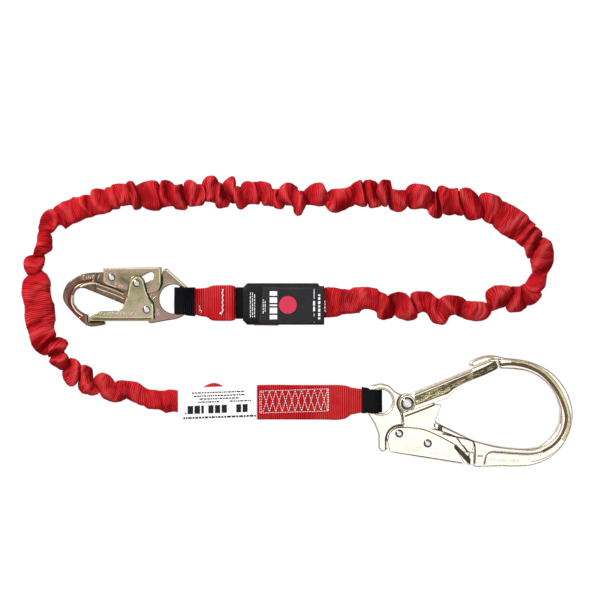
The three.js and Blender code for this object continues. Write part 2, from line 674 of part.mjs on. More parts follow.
function jacketSolids() {
  const group = new THREE.Group();
  const path = jacketPath(JACKET_HEIGHT / 2 + 0.3);
  const section = oval(JACKET_WIDTH, JACKET_HEIGHT);
  section.holes.push(oval(JACKET_WIDTH - 2 * JACKET_WALL, JACKET_HEIGHT - 2 * JACKET_WALL));
  const alongRoute = { steps: JACKET_STEPS, extrudePath: path, curveSegments: 5 };
  const jacket = solidOf(new THREE.ExtrudeGeometry(section, alongRoute));
  const strip = polygon([
    [-CORE_HEIGHT / 2, -CORE_WIDTH / 2], [CORE_HEIGHT / 2, -CORE_WIDTH / 2],
    [CORE_HEIGHT / 2, CORE_WIDTH / 2], [-CORE_HEIGHT / 2, CORE_WIDTH / 2],
  ]);
  const core = solidOf(new THREE.ExtrudeGeometry(strip, alongRoute));
  group.add(pieceOf("outer_jacket", jacket, RED_WEBBING), pieceOf("shock_core", core, CORE_YARN));
  return group;
}

const lanyard = new THREE.Group();
lanyard.add(snapHook(), rebarHook(), snapEnd(), rebarEnd(), jacketSolids());

export default lanyard;
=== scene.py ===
"""A shock absorbing lanyard: a gathered red jacket between a snap hook and a large scaffold hook.

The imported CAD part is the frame. This script dresses it: woven webbing, stitching, labels and plated steel.
Meshes are in metres, in the frame of the CAD part, with the table at z = 0. Tables of points and the sizes
in the functions that use them are in millimetres.
"""
import math
import random

import bpy
import numpy as np
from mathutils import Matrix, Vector, noise
from mathutils.bvhtree import BVHTree


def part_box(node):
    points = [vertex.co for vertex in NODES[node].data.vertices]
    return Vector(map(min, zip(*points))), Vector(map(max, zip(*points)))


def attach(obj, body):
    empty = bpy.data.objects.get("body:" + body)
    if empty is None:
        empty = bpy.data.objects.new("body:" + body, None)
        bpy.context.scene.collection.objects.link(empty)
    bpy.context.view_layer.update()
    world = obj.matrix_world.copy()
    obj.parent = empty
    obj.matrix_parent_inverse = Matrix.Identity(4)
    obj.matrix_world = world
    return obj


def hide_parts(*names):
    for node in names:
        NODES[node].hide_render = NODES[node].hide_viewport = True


noise.seed_set(4)  # without a seed, noise_vector starts from the clock and differs in each run
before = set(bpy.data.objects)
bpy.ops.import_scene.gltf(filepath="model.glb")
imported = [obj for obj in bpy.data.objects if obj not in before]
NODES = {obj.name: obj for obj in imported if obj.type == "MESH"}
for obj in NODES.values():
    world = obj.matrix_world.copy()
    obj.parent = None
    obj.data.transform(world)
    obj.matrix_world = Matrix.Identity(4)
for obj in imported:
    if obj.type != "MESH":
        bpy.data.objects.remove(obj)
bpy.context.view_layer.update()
MM = 0.001

# ---- Colours, as linear red, green and blue ----

# The GLINT colours are painted highlights on the crests of the ribs and of the folds.
RED_BRIGHT = (0.47, 0.009, 0.015)
RED_DEEP = (0.29, 0.001, 0.003)
RED_GLINT = (0.57, 0.095, 0.092)
BLACK_BRIGHT = (0.004, 0.004, 0.005)
BLACK_DEEP = (0.002, 0.002, 0.003)
BLACK_GLINT = (0.014, 0.014, 0.017)
THREAD_WHITE = (0.85, 0.80, 0.78)
PRINT_WHITE = (0.85, 0.85, 0.83)
PRINT_BLACK = (0.010, 0.010, 0.012)
DISC_RED = (0.60, 0.035, 0.075)
PAINT_RED = (0.13, 0.007, 0.010)

# ---- Node helpers ----


class Shader:
    """A node material that is built by naming each node's kind and what feeds it."""

    def __init__(self, name):
        self.material = bpy.data.materials.new(name)
        self.material.use_nodes = True
        self.tree = self.material.node_tree
        self.tree.nodes.clear()
        self.output = self.tree.nodes.new("ShaderNodeOutputMaterial")

    def add(self, kind, inputs=None, **settings):
        node = self.tree.nodes.new("ShaderNode" + kind)
        for key, value in settings.items():
            setattr(node, key, value)
        for key, value in (inputs or {}).items():
            if isinstance(value, bpy.types.NodeSocket):
                self.tree.links.new(value, node.inputs[key])
            else:
                node.inputs[key].default_value = value
        return node

    def math(self, operation, a, b=0.0):
        return self.add("Math", {0: a, 1: b}, operation=operation).outputs[0]

    def plus(self, a, b):
        return self.math("ADD", a, b)

    def times(self, a, b):
        return self.math("MULTIPLY", a, b)

    def sine(self, place, pitch):
        return self.math("SINE", self.times(place, 2 * math.pi / pitch))

    def mix(self, factor, a, b):
        sockets = {0: factor, 6: a, 7: b}
        for key in (6, 7):
            if isinstance(sockets[key], tuple):
                sockets[key] = (*sockets[key][:3], 1.0)
        return self.add("Mix", sockets, data_type="RGBA").outputs[2]

    def ramp(self, factor, *stops):
        """stops are (place, colour) or (place, grey)."""
        node = self.add("ValToRGB", {0: factor})
        elements = node.color_ramp.elements
        while len(elements) < len(stops):
            elements.new(0.5)
        for element, (place, colour) in zip(elements, stops):
            element.position = place
            element.color = (*colour, 1.0) if isinstance(colour, tuple) else (colour, colour, colour, 1.0)
        return node.outputs[0]

    def place(self):
        return self.add("TexCoord").outputs["Object"]

    def parts(self, vector):
        return self.add("SeparateXYZ", {0: vector}).outputs

    def noise(self, vector, scale, detail=2.0, roughness=0.5):
        inputs = {"Vector": vector, "Scale": scale, "Detail": detail, "Roughness": roughness}
        return self.add("TexNoise", inputs).outputs["Fac"]

    def bump(self, height, distance, strength):
        inputs = {"Height": height, "Distance": distance, "Strength": strength}
        return self.add("Bump", inputs).outputs["Normal"]

    def finish(self, **inputs):
        bsdf = self.add("BsdfPrincipled", {key.replace("_", " "): value for key, value in inputs.items()})
        self.tree.links.new(bsdf.outputs[0], self.output.inputs[0])
        return self.material


def dimmed(colour, share):
    return tuple(share * c for c in colour)


# ---- Mesh helpers ----


def mesh_object(name, vertices, faces, uvs=None, smooth=True):
    """A mesh object. uvs holds one pair for each vertex of each face, in order."""
    mesh = bpy.data.meshes.new(name)
    mesh.from_pydata([tuple(v) for v in vertices], [], faces)
    if uvs is not None:
        layer = mesh.uv_layers.new(name="UVMap")
        layer.data.foreach_set("uv", [value for uv in uvs for value in uv])
    mesh.polygons.foreach_set("use_smooth", [smooth] * len(mesh.polygons))
    mesh.update()
    obj = bpy.data.objects.new(name, mesh)
    bpy.context.scene.collection.objects.link(obj)
    return obj


def run_length(line):
    """The distance along a line from its start to each of its points."""
    return np.array([0.0, *np.cumsum(np.linalg.norm(np.diff(line, axis=0), axis=1))])


def tube_of_rings(name, rings, lengths=None):
    """Closed rings of equal size joined into a tube with a cap at each end.

    The map's first number is the length along the tube, and its second the length round the section.
    """
    count, around = len(rings), len(rings[0])
    vertices = [point for ring in rings for point in ring]
    if lengths is None:
        lengths = run_length([np.mean(np.array(ring), axis=0) for ring in rings])
    middle = rings[count // 2]
    girth = sum((Vector(middle[k]) - Vector(middle[k - 1])).length for k in range(around))
    faces, uvs = [], []
    for i in range(count - 1):
        near, far = lengths[i], lengths[i + 1]
        for k in range(around):
            a, b = i * around + k, i * around + (k + 1) % around
            faces.append((a, b, b + around, a + around))
            low, high = girth * k / around, girth * (k + 1) / around
            uvs += [(near, low), (near, high), (far, high), (far, low)]
    faces.append(tuple(reversed(range(around))))
    faces.append(tuple((count - 1) * around + k for k in range(around)))
    uvs += [(lengths[0], 0.0)] * around + [(lengths[-1], 0.0)] * around
    return mesh_object(name, vertices, faces, uvs)


def dress(piece, material, body="lanyard", replaces=()):
    """Gives a piece its material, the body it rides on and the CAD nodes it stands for."""
    piece.data.materials.append(material)
    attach(piece, body)
    if replaces:
        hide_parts(*replaces)
    return piece


# ---- Webbing materials ----

RIB = 2.2  # pitch of the webbing's ribs, in millimetres


def webbing_material(name, bright, deep, glint, relief=0.4 * MM, marked=1.0):
    """Ribbed woven tape. The map's first number is the length along the tape.

    marked is how strongly the ribs show in the colour. glint is a painted highlight, laid in patches on the
    crests of the ribs and along the crests of folds. A mesh may carry a "painted_fold_shading" attribute:
    painted shade where it is 1, where the tape is pressed together and no light gets in, and a painted
    highlight where it is -1, along the crest of a fold.
    """
    shader = Shader(name)
    coords = shader.add("TexCoord").outputs
    place = coords["Object"]
    along, across, _ = shader.parts(coords["UV"])
    wander = shader.times(shader.noise(place, 90.0), 0.9 * MM)
    wave = shader.sine(shader.plus(along, wander), RIB * MM)
    rib = shader.plus(shader.times(wave, 0.5), 0.5)
    yarn = shader.sine(across, 0.9 * MM)
    cloud = shader.noise(place, 38.0, 3.0)
    # glint_patches picks the patches where the crests of the ribs carry a painted glint
    glint_patches = shader.ramp(shader.noise(place, 45.0), (0.40, 0.15), (0.65, 1.0))
    fibre = shader.noise(place, 1500.0)
    tone = shader.plus(shader.times(rib, 0.7 * marked), shader.times(cloud, 0.5))
    base = shader.mix(shader.ramp(tone, (0.15, 0.0), (0.15 + 0.7 * marked, 1.0)), deep, bright)
    # painted highlight: in those patches the crests of the ribs turn to the glint colour
    crest = shader.times(shader.math("POWER", rib, 3.0), shader.times(glint_patches, 0.75 * marked))
    base = shader.mix(crest, base, glint)
    base = shader.mix(shader.times(fibre, 0.2), base, bright)
    # painted shade in the creases and a painted highlight along the crests of folds, from the mesh's
    # attribute
    painted_fold_shading = shader.add("Attribute", attribute_name="painted_fold_shading").outputs["Fac"]
    dark = shader.ramp(painted_fold_shading, (0.0, 0.0), (1.0, 0.8))
    light = shader.ramp(shader.times(painted_fold_shading, -1.0), (0.0, 0.0), (1.0, 0.36))
    base = shader.mix(light, shader.mix(dark, base, dimmed(deep, 0.55)), glint)
    height = shader.plus(shader.plus(rib, shader.times(yarn, 0.12)), shader.times(fibre, 0.3))
    return shader.finish(
        Base_Color=base,
        Roughness=shader.plus(shader.times(rib, -0.12), 0.78),
        Normal=shader.bump(height, relief, 0.7),
        Specular_IOR_Level=0.04,
    )


def twill_material(name):
    """Black woven tape with slanted ribs."""
    shader = Shader(name)
    coords = shader.add("TexCoord").outputs
    along, across, _ = shader.parts(coords["UV"])
    wave = shader.sine(shader.plus(along, shader.times(across, 0.8)), 2.3 * MM)
    fibre = shader.noise(coords["Object"], 1300.0, 3.0)
    rib = shader.plus(shader.times(wave, 0.5), 0.5)
    return shader.finish(
        Base_Color=shader.mix(shader.times(rib, fibre), BLACK_DEEP, BLACK_GLINT),
        Roughness=0.75,
        Normal=shader.bump(shader.plus(rib, shader.times(fibre, 0.5)), 0.5 * MM, 0.8),
        Specular_IOR_Level=0.08,
    )


def thread_material(name):
    shader = Shader(name)
    fibre = shader.noise(shader.place(), 1800.0)
    return shader.finish(
        Base_Color=shader.mix(fibre, dimmed(THREAD_WHITE, 0.7), THREAD_WHITE),
        Roughness=0.6,
        Normal=shader.bump(fibre, 0.15 * MM, 0.6),
        Sheen_Weight=0.2,
    )


def cover_material(name, dark, light):
    """Coated nylon cloth: a fine plain weave under a dull coat, scuffed a little paler."""
    shader = Shader(name)
    place = shader.place()
    along, across, _ = shader.parts(place)
    grain = shader.times(shader.sine(along, 0.8 * MM), shader.sine(across, 0.8 * MM))
    scuff = shader.ramp(shader.noise(place, 60.0, 4.0, 0.65), (0.42, 0.0), (0.72, 1.0))
    height = shader.plus(grain, shader.times(shader.noise(place, 500.0), 1.5))
    return shader.finish(
        Base_Color=shader.mix(scuff, dark, light),
        Roughness=0.55,
        Normal=shader.bump(height, 0.12 * MM, 0.5),
        Specular_IOR_Level=0.22,
    )


def ink_material(name, colour, roughness=0.5):
    """Printed ink or paint, a little uneven where it meets the weave."""
    shader = Shader(name)
    patchy = shader.noise(shader.place(), 420.0, 3.0)
    return shader.finish(
        Base_Color=shader.mix(shader.times(patchy, 0.35), colour, dimmed(colour, 0.72)),
        Roughness=roughness,
        Normal=shader.bump(patchy, 0.08 * MM, 0.4),
        Specular_IOR_Level=0.15,
    )


def zinc_material(name, tones, roughness, relief=0.05 * MM, rim=None, band=None, metal=1.0):
    """Zinc plate with a passivated film whose tint drifts over the surface. tones run from the darkest up.

    rim is a colour painted on rounded edges and steep walls in place of what they reflect: painted shade
    where it is darker than the tones, a painted highlight where it is lighter. band is
    ((low x, low y), (high x, high y)) of a painted ring, in metres.
    """
    shader = Shader(name)
    place = shader.place()
    drift = shader.noise(place, 26.0, 3.0, 0.6)
    grain = shader.noise(place, 230.0, 3.0, 0.6)
    mixed = shader.plus(shader.times(drift, 0.78), shader.times(grain, 0.22))
    stops = [(0.32 + 0.36 * k / (len(tones) - 1), tone) for k, tone in enumerate(tones)]
    speck = shader.ramp(shader.noise(place, 900.0), (0.36, 1.0), (0.46, 0.0))
    base = shader.mix(shader.times(speck, 0.4), shader.ramp(mixed, *stops), dimmed(tones[0], 0.45))
    # rim paints the steep slopes: painted shade where it is darker than the tones, a painted highlight where
    # it is lighter
    if rim is not None:
        slope = shader.parts(shader.add("TexCoord").outputs["Normal"])[2]
        steep = shader.ramp(shader.math("ABSOLUTE", slope), (0.1, 0.5), (0.35, 1.0), (0.88, 0.0))
        base = shader.mix(steep, base, rim)
    if band is not None:
        inside = [
            shader.times(shader.math("GREATER_THAN", part, low), shader.math("LESS_THAN", part, high))
            for part, low, high in zip(shader.parts(place), *band)
        ]
        painted = shader.times(*inside)
        base = shader.mix(painted, base, PAINT_RED)
        metal = shader.math("SUBTRACT", 1.0, painted)
    return shader.finish(
        Base_Color=base,
        Metallic=metal,
        Roughness=shader.plus(shader.times(grain, 0.25), roughness - 0.12),
        Normal=shader.bump(grain, relief, 0.5),
    )


RED_WEBBING = webbing_material("red_webbing", RED_BRIGHT, RED_DEEP, RED_GLINT)
RED_TUBE = webbing_material("red_tube", RED_BRIGHT, RED_DEEP, RED_GLINT, relief=0.16 * MM, marked=0.6)
BLACK_WEBBING = webbing_material("black_webbing", BLACK_BRIGHT, BLACK_DEEP, BLACK_GLINT)
BLACK_TWILL = twill_material("black_twill")
THREAD = thread_material("white_thread")
COVER_CLOTH = cover_material("cover_cloth", (0.001, 0.001, 0.0015), (0.004, 0.004, 0.005))
PANEL_CLOTH = cover_material("panel_cloth", (0.011, 0.011, 0.013), (0.018, 0.018, 0.022))
LABEL_FILM = cover_material("label_film", (0.86, 0.86, 0.85), (0.92, 0.92, 0.92))
INK_WHITE = ink_material("ink_white", PRINT_WHITE)
INK_BLACK = ink_material("ink_black", PRINT_BLACK)
GREY_THREAD = ink_material("grey_thread", (0.07, 0.07, 0.08))
INK_RED = ink_material("ink_red", DISC_RED)
PAINT = ink_material("groove_paint", PAINT_RED, 0.35)
SNAP_TONES = [
    (0.12, 0.10, 0.06), (0.23, 0.19, 0.12), (0.38, 0.26, 0.20),
    (0.27, 0.28, 0.13), (0.42, 0.39, 0.24),
]
REBAR_TONES = [
    (0.74, 0.66, 0.52), (0.88, 0.85, 0.75), (0.95, 0.85, 0.79),
    (0.86, 0.89, 0.70), (0.97, 0.96, 0.92),
]
RECESS_TONES = [(0.03, 0.02, 0.012), (0.10, 0.07, 0.04), (0.22, 0.18, 0.10)]
BROWN_TONES = [(0.10, 0.06, 0.035), (0.19, 0.12, 0.075)]
TAN_TONES = [(0.42, 0.28, 0.20), (0.62, 0.47, 0.36)]
LIGHT_TONES = [(0.62, 0.52, 0.36), (0.86, 0.78, 0.58)]
CHROME_TONES = [(0.50, 0.49, 0.48), (0.68, 0.67, 0.65)]
NOSE_BAND = ((-0.2488, 0.040), (-0.2438, 0.058))
NOSE_TONES = [
    (0.06, 0.045, 0.025), (0.12, 0.085, 0.055), (0.21, 0.13, 0.10),
    (0.15, 0.13, 0.06), (0.26, 0.22, 0.13),
]
GATE_TONES = [
    (0.19, 0.17, 0.09), (0.30, 0.29, 0.15), (0.40, 0.31, 0.25),
    (0.30, 0.36, 0.14), (0.47, 0.47, 0.27),
]
SADDLE_TONES = [
    (0.12, 0.085, 0.06), (0.21, 0.145, 0.12), (0.32, 0.20, 0.175),
    (0.21, 0.18, 0.11), (0.35, 0.26, 0.22),
]
# The rims are painted edge light: the light rims of the nose and the gate are painted highlights, the dark
# rims of the others painted shade.
YELLOW_ZINC = zinc_material("yellow_zinc", SNAP_TONES, 0.28, rim=(0.13, 0.09, 0.055))
NOSE_ZINC = zinc_material("nose_zinc", NOSE_TONES, 0.28, rim=(0.34, 0.27, 0.17), band=NOSE_BAND)
GATE_ZINC = zinc_material("gate_zinc", GATE_TONES, 0.26, rim=(0.55, 0.52, 0.33))
SADDLE_ZINC = zinc_material("saddle_zinc", SADDLE_TONES, 0.28, rim=(0.13, 0.09, 0.055))
PALE_ZINC = zinc_material("pale_zinc", REBAR_TONES, 0.30, rim=(0.30, 0.19, 0.11))
DARK_ZINC = zinc_material("dark_zinc", RECESS_TONES, 0.42, relief=0.3 * MM)
# SHADOW_ZINC is painted shadow. LIGHT_ZINC serves for stamped marks and painted highlights; BROWN_ZINC and
# TAN_ZINC for stains, tints and stamps, and for painted shade and painted reflection along grooves and edges.
SHADOW_ZINC = zinc_material("shadow_zinc", [(0.025, 0.018, 0.01), (0.06, 0.04, 0.025)], 0.6)
BROWN_ZINC = zinc_material("brown_zinc", BROWN_TONES, 0.5)
TAN_ZINC = zinc_material("tan_zinc", TAN_TONES, 0.4)
OLIVE_ZINC = zinc_material("olive_zinc", [(0.34, 0.30, 0.14), (0.60, 0.55, 0.30), (0.74, 0.72, 0.44)], 0.4)
LIGHT_ZINC = zinc_material("light_zinc", LIGHT_TONES, 0.3, metal=0.4)
CHROME = zinc_material("bright_steel", CHROME_TONES, 0.14, rim=(0.15, 0.14, 0.13))
SPRING_STEEL = zinc_material("spring_steel", [(0.25, 0.25, 0.26), (0.40, 0.40, 0.42)], 0.3)

# ---- Gathered jacket ----

# Centreline of the jacket on the table, from the label cover round to the sewn strap, in millimetres.
JACKET_ROUTE = [
    (9, 68), (33, 69.5), (57, 69.5), (78, 65), (97, 63), (113, 66), (130, 62), (150, 62.5), (173, 60),
    (187, 69), (203, 72), (220, 75), (230, 85), (235, 102), (233, 118), (224, 136), (210, 148),
    (191, 160), (170, 168), (141, 172), (112, 176), (81, 178), (50, 182), (18, 176), (-19, 178),
    (-75, 181), (-126, 184), (-160, 180), (-213, 177), (-257, 166), (-278, 153), (-290, 133),
    (-296, 100), (-293, 60), (-287, 28), (-274, 12), (-247, -11), (-210, -25), (-180, -35), (-148, -37),
]
JACKET_LENGTH = 1.094
JACKET_AROUND = 52
JACKET_TUCK = 7  # how far each end runs on under the cover or the label, in millimetres

# The jacket's folds in millimetres: where a crease meets the inner and the outer edge of the loop, measured
# along the centreline, half widths inside and outside at the crease, half widths of the puff that follows it,
# and how deep the crease is, from 0 to 1.
FOLDS = [
    (0, 0, 16, 17, 15, 16, 0.1),
    (14, 12, 14, 16, 12, 14, 0.35),
    (29, 35, 14, 14, 14, 9, 0.4),
    (52, 56, 13, 13, 11, 17, 0.9),
    (63, 74, 8, 10, 15, 15, 1),
    (89, 95, 8, 8, 15, 8, 0.6),
    (110, 111, 11, 12, 9, 18, 0.9),
    (120, 130, 10, 11, 13, 8, 0.8),
    (148, 138, 7, 8, 9, 12, 1),
    (175, 173, 3, 6, 16, 9, 0.5),
    (201, 193, 11, 7, 12, 16, 1),
    (213, 213, 12, 10, 12, 12, 0.9),
    (222, 228, 12, 8, 11, 8, 0.8),
    (244, 245, 8, 7, 11, 16, 0.3),
    (264, 279, 10, 10, 13, 13, 1),
    (280, 290, 12, 11, 14, 13, 0.9),
    (296, 298, 13, 13, 16, 16, 0.9),
    (328, 328, 12, 14, 13, 18, 0.4),
    (342, 352, 10, 10, 15, 18, 0.8),
    (363, 372, 10, 13, 12, 17, 0.6),
    (373, 379, 10, 16, 13, 17, 0.4),
    (385, 395, 12, 10, 19, 11, 0.9),
    (402, 399, 11, 10, 11, 16, 0.7),
    (424, 427, 8, 8, 15, 9, 0.6),
    (444, 442, 8, 9, 11, 18, 1),
    (450, 457, 10, 11, 15, 15, 1),
    (466, 471, 9, 11, 14, 15, 0.7),
    (482, 482, 9, 11, 14, 11, 0.9),
    (512, 511, 6, 7, 7, 18, 0.3),
    (532, 535, 7, 7, 19, 7, 0.8),
    (544, 541, 15, 7, 9, 15, 0.9),
    (554, 561, 8, 7, 14, 7, 0.7),
    (565, 569, 12, 10, 11, 15, 0.7),
    (580, 588, 6, 15, 10, 14, 0.5),
    (592, 602, 10, 8, 16, 8, 0.7),
    (604, 607, 9, 8, 10, 18, 0.9),
    (611, 621, 9, 10, 17, 11, 1),
    (627, 625, 12, 11, 11, 17, 0.8),
    (639, 642, 11, 8, 15, 8, 0.7),
    (651, 647, 15, 8, 15, 13, 0.8),
    (658, 660, 13, 7, 18, 10, 0.9),
    (674, 670, 12, 11, 12, 17, 0.9),
    (685, 685, 12, 12, 15, 17, 0.6),
    (706, 712, 9, 11, 14, 17, 0.6),
    (716, 721, 10, 14, 9, 15, 0.8),
    (729, 735, 9, 15, 12, 13, 0.7),
    (738, 743, 11, 11, 14, 14, 0.8),
    (759, 758, 14, 8, 14, 10, 0.8),
    (770, 775, 14, 12, 15, 11, 0.35),
    (799, 797, 14, 9, 7, 13, 0.8),
    (817, 820, 5, 7, 13, 5, 0.4),
    (842, 844, 5, 6, 8, 14, 0.6),
    (859, 865, 5, 8, 15, 16, 0.5),
    (897, 898, 16, 15, 16, 16, 0.15),
    (916, 918, 15, 16, 14, 15, 0.25),
    (937, 947, 11, 6, 18, 7, 0.9),
    (957, 951, 10, 5, 8, 11, 0.9),
    (965, 970, 6, 7, 11, 16, 0.9),
    (981, 989, 7, 4, 13, 15, 0.9),
    (1001, 1013, 3, 6, 13, 14, 0.8),
    (1024, 1041, 7, 5, 15, 6, 0.3),
    (1060, 1062, 12, 7, 12, 9, 0.2),
    (1080, 1082, 11, 12, 12, 11, 0.15),
    (1094, 1094, 14, 10, 14, 10, 0.1),
]


def smooth_line(points, steps):
    """A centripetal Catmull-Rom line through the points, as an array."""
    points = [np.array(p, float) for p in points]
    points = [2 * points[0] - points[1], *points, 2 * points[-1] - points[-2]]
    line = []
    for i in range(1, len(points) - 2):
        p0, p1, p2, p3 = points[i - 1 : i + 3]
        d0, d1, d2 = (math.sqrt(np.linalg.norm(b - a)) for a, b in ((p0, p1), (p1, p2), (p2, p3)))
        m1 = ((p1 - p0) / d0 - (p2 - p0) / (d0 + d1) + (p2 - p1) / d1) * d1
        m2 = ((p2 - p1) / d1 - (p3 - p1) / (d1 + d2) + (p3 - p2) / d2) * d1
        for k in range(steps):
            t = k / steps
            square, cube = 3 * p2 - 3 * p1 - 2 * m1 - m2, 2 * p1 - 2 * p2 + m1 + m2
            line.append(p1 + m1 * t + square * t**2 + cube * t**3)
    return np.array([*line, points[-2]])


class Route:
    """A line on the table, read by the distance along it. Distances may be arrays."""

    def __init__(self, points):
        self.line = smooth_line(points, 24)
        self.at = run_length(self.line)

    def read(self, distance):
        return np.stack([np.interp(distance, self.at, self.line[:, k]) for k in range(2)], axis=-1)

    def direction(self, distance, reach=7.0):
        inside = np.clip(distance, 0.0, self.at[-1])
        step = self.read(np.minimum(inside + reach, self.at[-1])) - self.read(np.maximum(inside - reach, 0.0))
        return step / np.linalg.norm(step, axis=-1, keepdims=True)

    def place(self, distance):
        inside = np.clip(distance, 0.0, self.at[-1])
        return self.read(inside) + np.asarray(distance - inside)[..., None] * self.direction(inside)

    def beside(self, distance, offset):
        """The point at a distance along, and an offset to the left."""
        ahead = self.direction(distance)
        left = np.stack([-ahead[..., 1], ahead[..., 0]], axis=-1)
        return self.place(distance) + np.asarray(offset)[..., None] * left


def lerp(a, b, share):
    return a + (b - a) * share


def signed_power(value, power):
    return math.copysign(abs(value) ** power, value)


STEEPEN = 0.62  # how much a deep crease pulls its puff together
SKEW = 0.6  # how far the crest of a puff may lie from its middle
BEND = 4.6  # how far a crease bows along the route, in millimetres
SLANT = 0.62  # how far a crease may lie askew
FLAT, FULL = 10.2, 5.6  # height of the jacket where it is not gathered, and what a deep gather adds
END_HEIGHT, END_SLOPE = 7.6, 0.22  # the jacket runs flat into the label at its far end
TURN = np.linspace(0, 2 * math.pi, JACKET_AROUND, endpoint=False)
SIDE = np.sign(np.cos(TURN)) * abs(np.cos(TURN)) ** 0.85
RISE = np.where(np.sin(TURN) > 0, abs(np.sin(TURN)) ** 0.55, -abs(np.sin(TURN)) ** 0.5)


def crease_depth(folds, index, across):
    """Depth of a crease over the width, deepest at the edge it notches. across is 0 outside, 1 inside."""
    fold, before = folds[index], folds[max(index - 1, 0)]
    notches = []
    for k in (3, 2):
        narrow, wide = min(before[k + 2], fold[k + 2]), max(before[k + 2], fold[k + 2])
        notches.append(np.clip((lerp(narrow, wide, 0.35) - fold[k]) / 4.0, 0, 1))
    return fold[6] * (0.2 + 0.8 * lerp(*notches, across))


def jacket_ring(folds, index, share):
    """One ring between two creases, as distances along the route, offsets beside it, heights and painted fold
    shading.
    """
    fold, after = folds[index], folds[index + 1]
    steep = STEEPEN * lerp(fold[6], after[6], share)
    along = share - steep * math.sin(2 * math.pi * share) / (2 * math.pi)
    skew = SKEW * math.sin(2.7 * index + 0.8)
    crest = math.sin(math.pi * (share + skew * share * (1 - share)))
    swell = crest**0.85
    inner_half = lerp(lerp(fold[2], after[2], share), fold[4], swell)
    outer_half = lerp(lerp(fold[3], after[3], share), fold[5], swell)
    offset = SIDE * np.where(SIDE > 0, inner_half, outer_half)
    across = (offset + outer_half) / (inner_half + outer_half)
    bend = BEND * lerp(math.sin(5.1 * index), math.sin(5.1 * index + 5.1), along)
    at = lerp(lerp(fold[1], after[1], along), lerp(fold[0], after[0], along), across)
    at = at + bend * np.sin(math.pi * across)
    depth = lerp(crease_depth(folds, index, across), crease_depth(folds, index + 1, across), share)
    deepest = max(fold[6], after[6])
    phase = index + share
    slant = SLANT * math.sin(1.1 * phase) * (across - 0.5) * deepest
    ridge = abs(np.sin(math.pi * (share + skew * share * (1 - share) + slant)))
    high = FLAT + FULL * lerp(fold[6], after[6], share) * (0.8 + 0.2 * math.sin(1.7 * phase))
    high = min(high, END_HEIGHT + END_SLOPE * (JACKET_LENGTH / MM - lerp(fold[0], after[0], share)))
    fold_top = ridge**1.5
    top = high * (1 - 0.60 * depth * (1 - fold_top))
    at = at + 3.0 * deepest * math.sin(1.9 * index + 0.4) * crest * np.clip(RISE, 0, 1)
    pleats = np.array([pleat(a, u, index) for a, u in zip(at, across)])
    top = top + pleats[:, 0] * (0.3 + 0.7 * deepest)
    middle = 0.42 * top
    height = middle + RISE * np.where(RISE > 0, top - middle, middle - 0.4)
    # painted shade in the creases and the pleats, and a painted highlight (below 0) along the crests of deep
    # folds
    painted_fold_shading = np.clip(1.3 * depth, 0, 1) * (1 - fold_top) ** 1.6 + pleats[:, 1]
    painted_fold_shading = np.clip(painted_fold_shading, 0, 1) - deepest * np.clip((ridge - 0.84) / 0.16, 0, 1) ** 2
    return at, offset, height, painted_fold_shading


def pleat(at, across, seed):
    """Height and painted shade of the small pleats, which run across the tube and are sharp in their valleys,
    and broad bands of painted shade across the tube.
    """
    bent = at / 5.4 + 0.8 * math.sin(2.2 * across + at / 19.0)
    wide = abs(noise.noise(Vector((bent, across * 0.9, 3.3))))
    fine = abs(noise.noise(Vector((2.3 * bent, across * 1.6, 8.1 + seed * 0.01))))
    broad = noise.noise(Vector((at / 10.5 + 0.9 * across, 0.8 * across, 5.5)))
    shade = 0.55 * max(0.0, 1 - wide / 0.14) + 1.5 * max(0.0, broad - 0.06)
    return 4.0 * (wide - 0.22) + 1.0 * (fine - 0.2) - 2.4 * max(0.0, broad), shade


def crumpled(point):
    """The point moved a little, so that no two puffs are alike. Millimetres."""
    x, y, z = point
    coarse = noise.noise_vector(Vector((x, y, z)) / 11.0)
    fine = noise.noise_vector(Vector((x, y, z)) / 4.5 + Vector((31.0, 7.0, 3.0)))
    move = coarse * 1.3 + fine * 0.5
    return (x + move.x, y + move.y, max(z + 1.1 * move.z, 0.35 + 0.1 * move.x))


def tucked(fold, move):
    """A fold moved along the route."""
    return (fold[0] + move, fold[1] + move, *fold[2:])


def gathered_jacket():
    route = Route(JACKET_ROUTE)
    folds = [tucked(FOLDS[0], -JACKET_TUCK), *FOLDS[1:-1], tucked(FOLDS[-1], JACKET_TUCK)]
    rings = []
    for index, (fold, after) in enumerate(zip(folds, folds[1:])):
        span = max(after[0] - fold[0], after[1] - fold[1])
        steps = max(12, int(span / 0.75))
        rings += [jacket_ring(folds, index, step / steps) for step in range(steps)]
    rings.append(jacket_ring(folds, len(folds) - 2, 1.0))
    at, offset, height, painted_fold_shading = (np.array([ring[k] for ring in rings]) for k in range(4))
    points = np.concatenate([route.beside(at, offset), height[..., None]], axis=-1)
    scaled = np.array([[crumpled(point) for point in ring] for ring in points]) * MM
    cloth = run_length(scaled[:, JACKET_AROUND // 4])  # along the top of the jacket
    jacket = tube_of_rings("jacket", scaled.tolist(), lengths=cloth)
    # the material paints shade and highlights on the jacket from this attribute
    jacket.data.attributes.new("painted_fold_shading", "FLOAT", "POINT").data.foreach_set("value", painted_fold_shading.ravel())
    dress(jacket, RED_TUBE, replaces=["outer_jacket", "shock_core"])
    path = [(*(route.place(d) * MM), 7 * MM) for d in np.linspace(0, route.at[-1], 240)]


# ---- Flat webbing ----

SNAP_EYE = (-150.8, 71.2, 10.4)  # centre of the snap hook's eye, in millimetres
SNAP_BAR = (-139.9, 10.4)  # the eye's bar, in x and z
REBAR_EYE = (65.8, -36.1, 9.6)
REBAR_BAR = (58.3, 9.6)
TAPE_STEP = 0.85  # from one section of a tape to the next, in millimetres


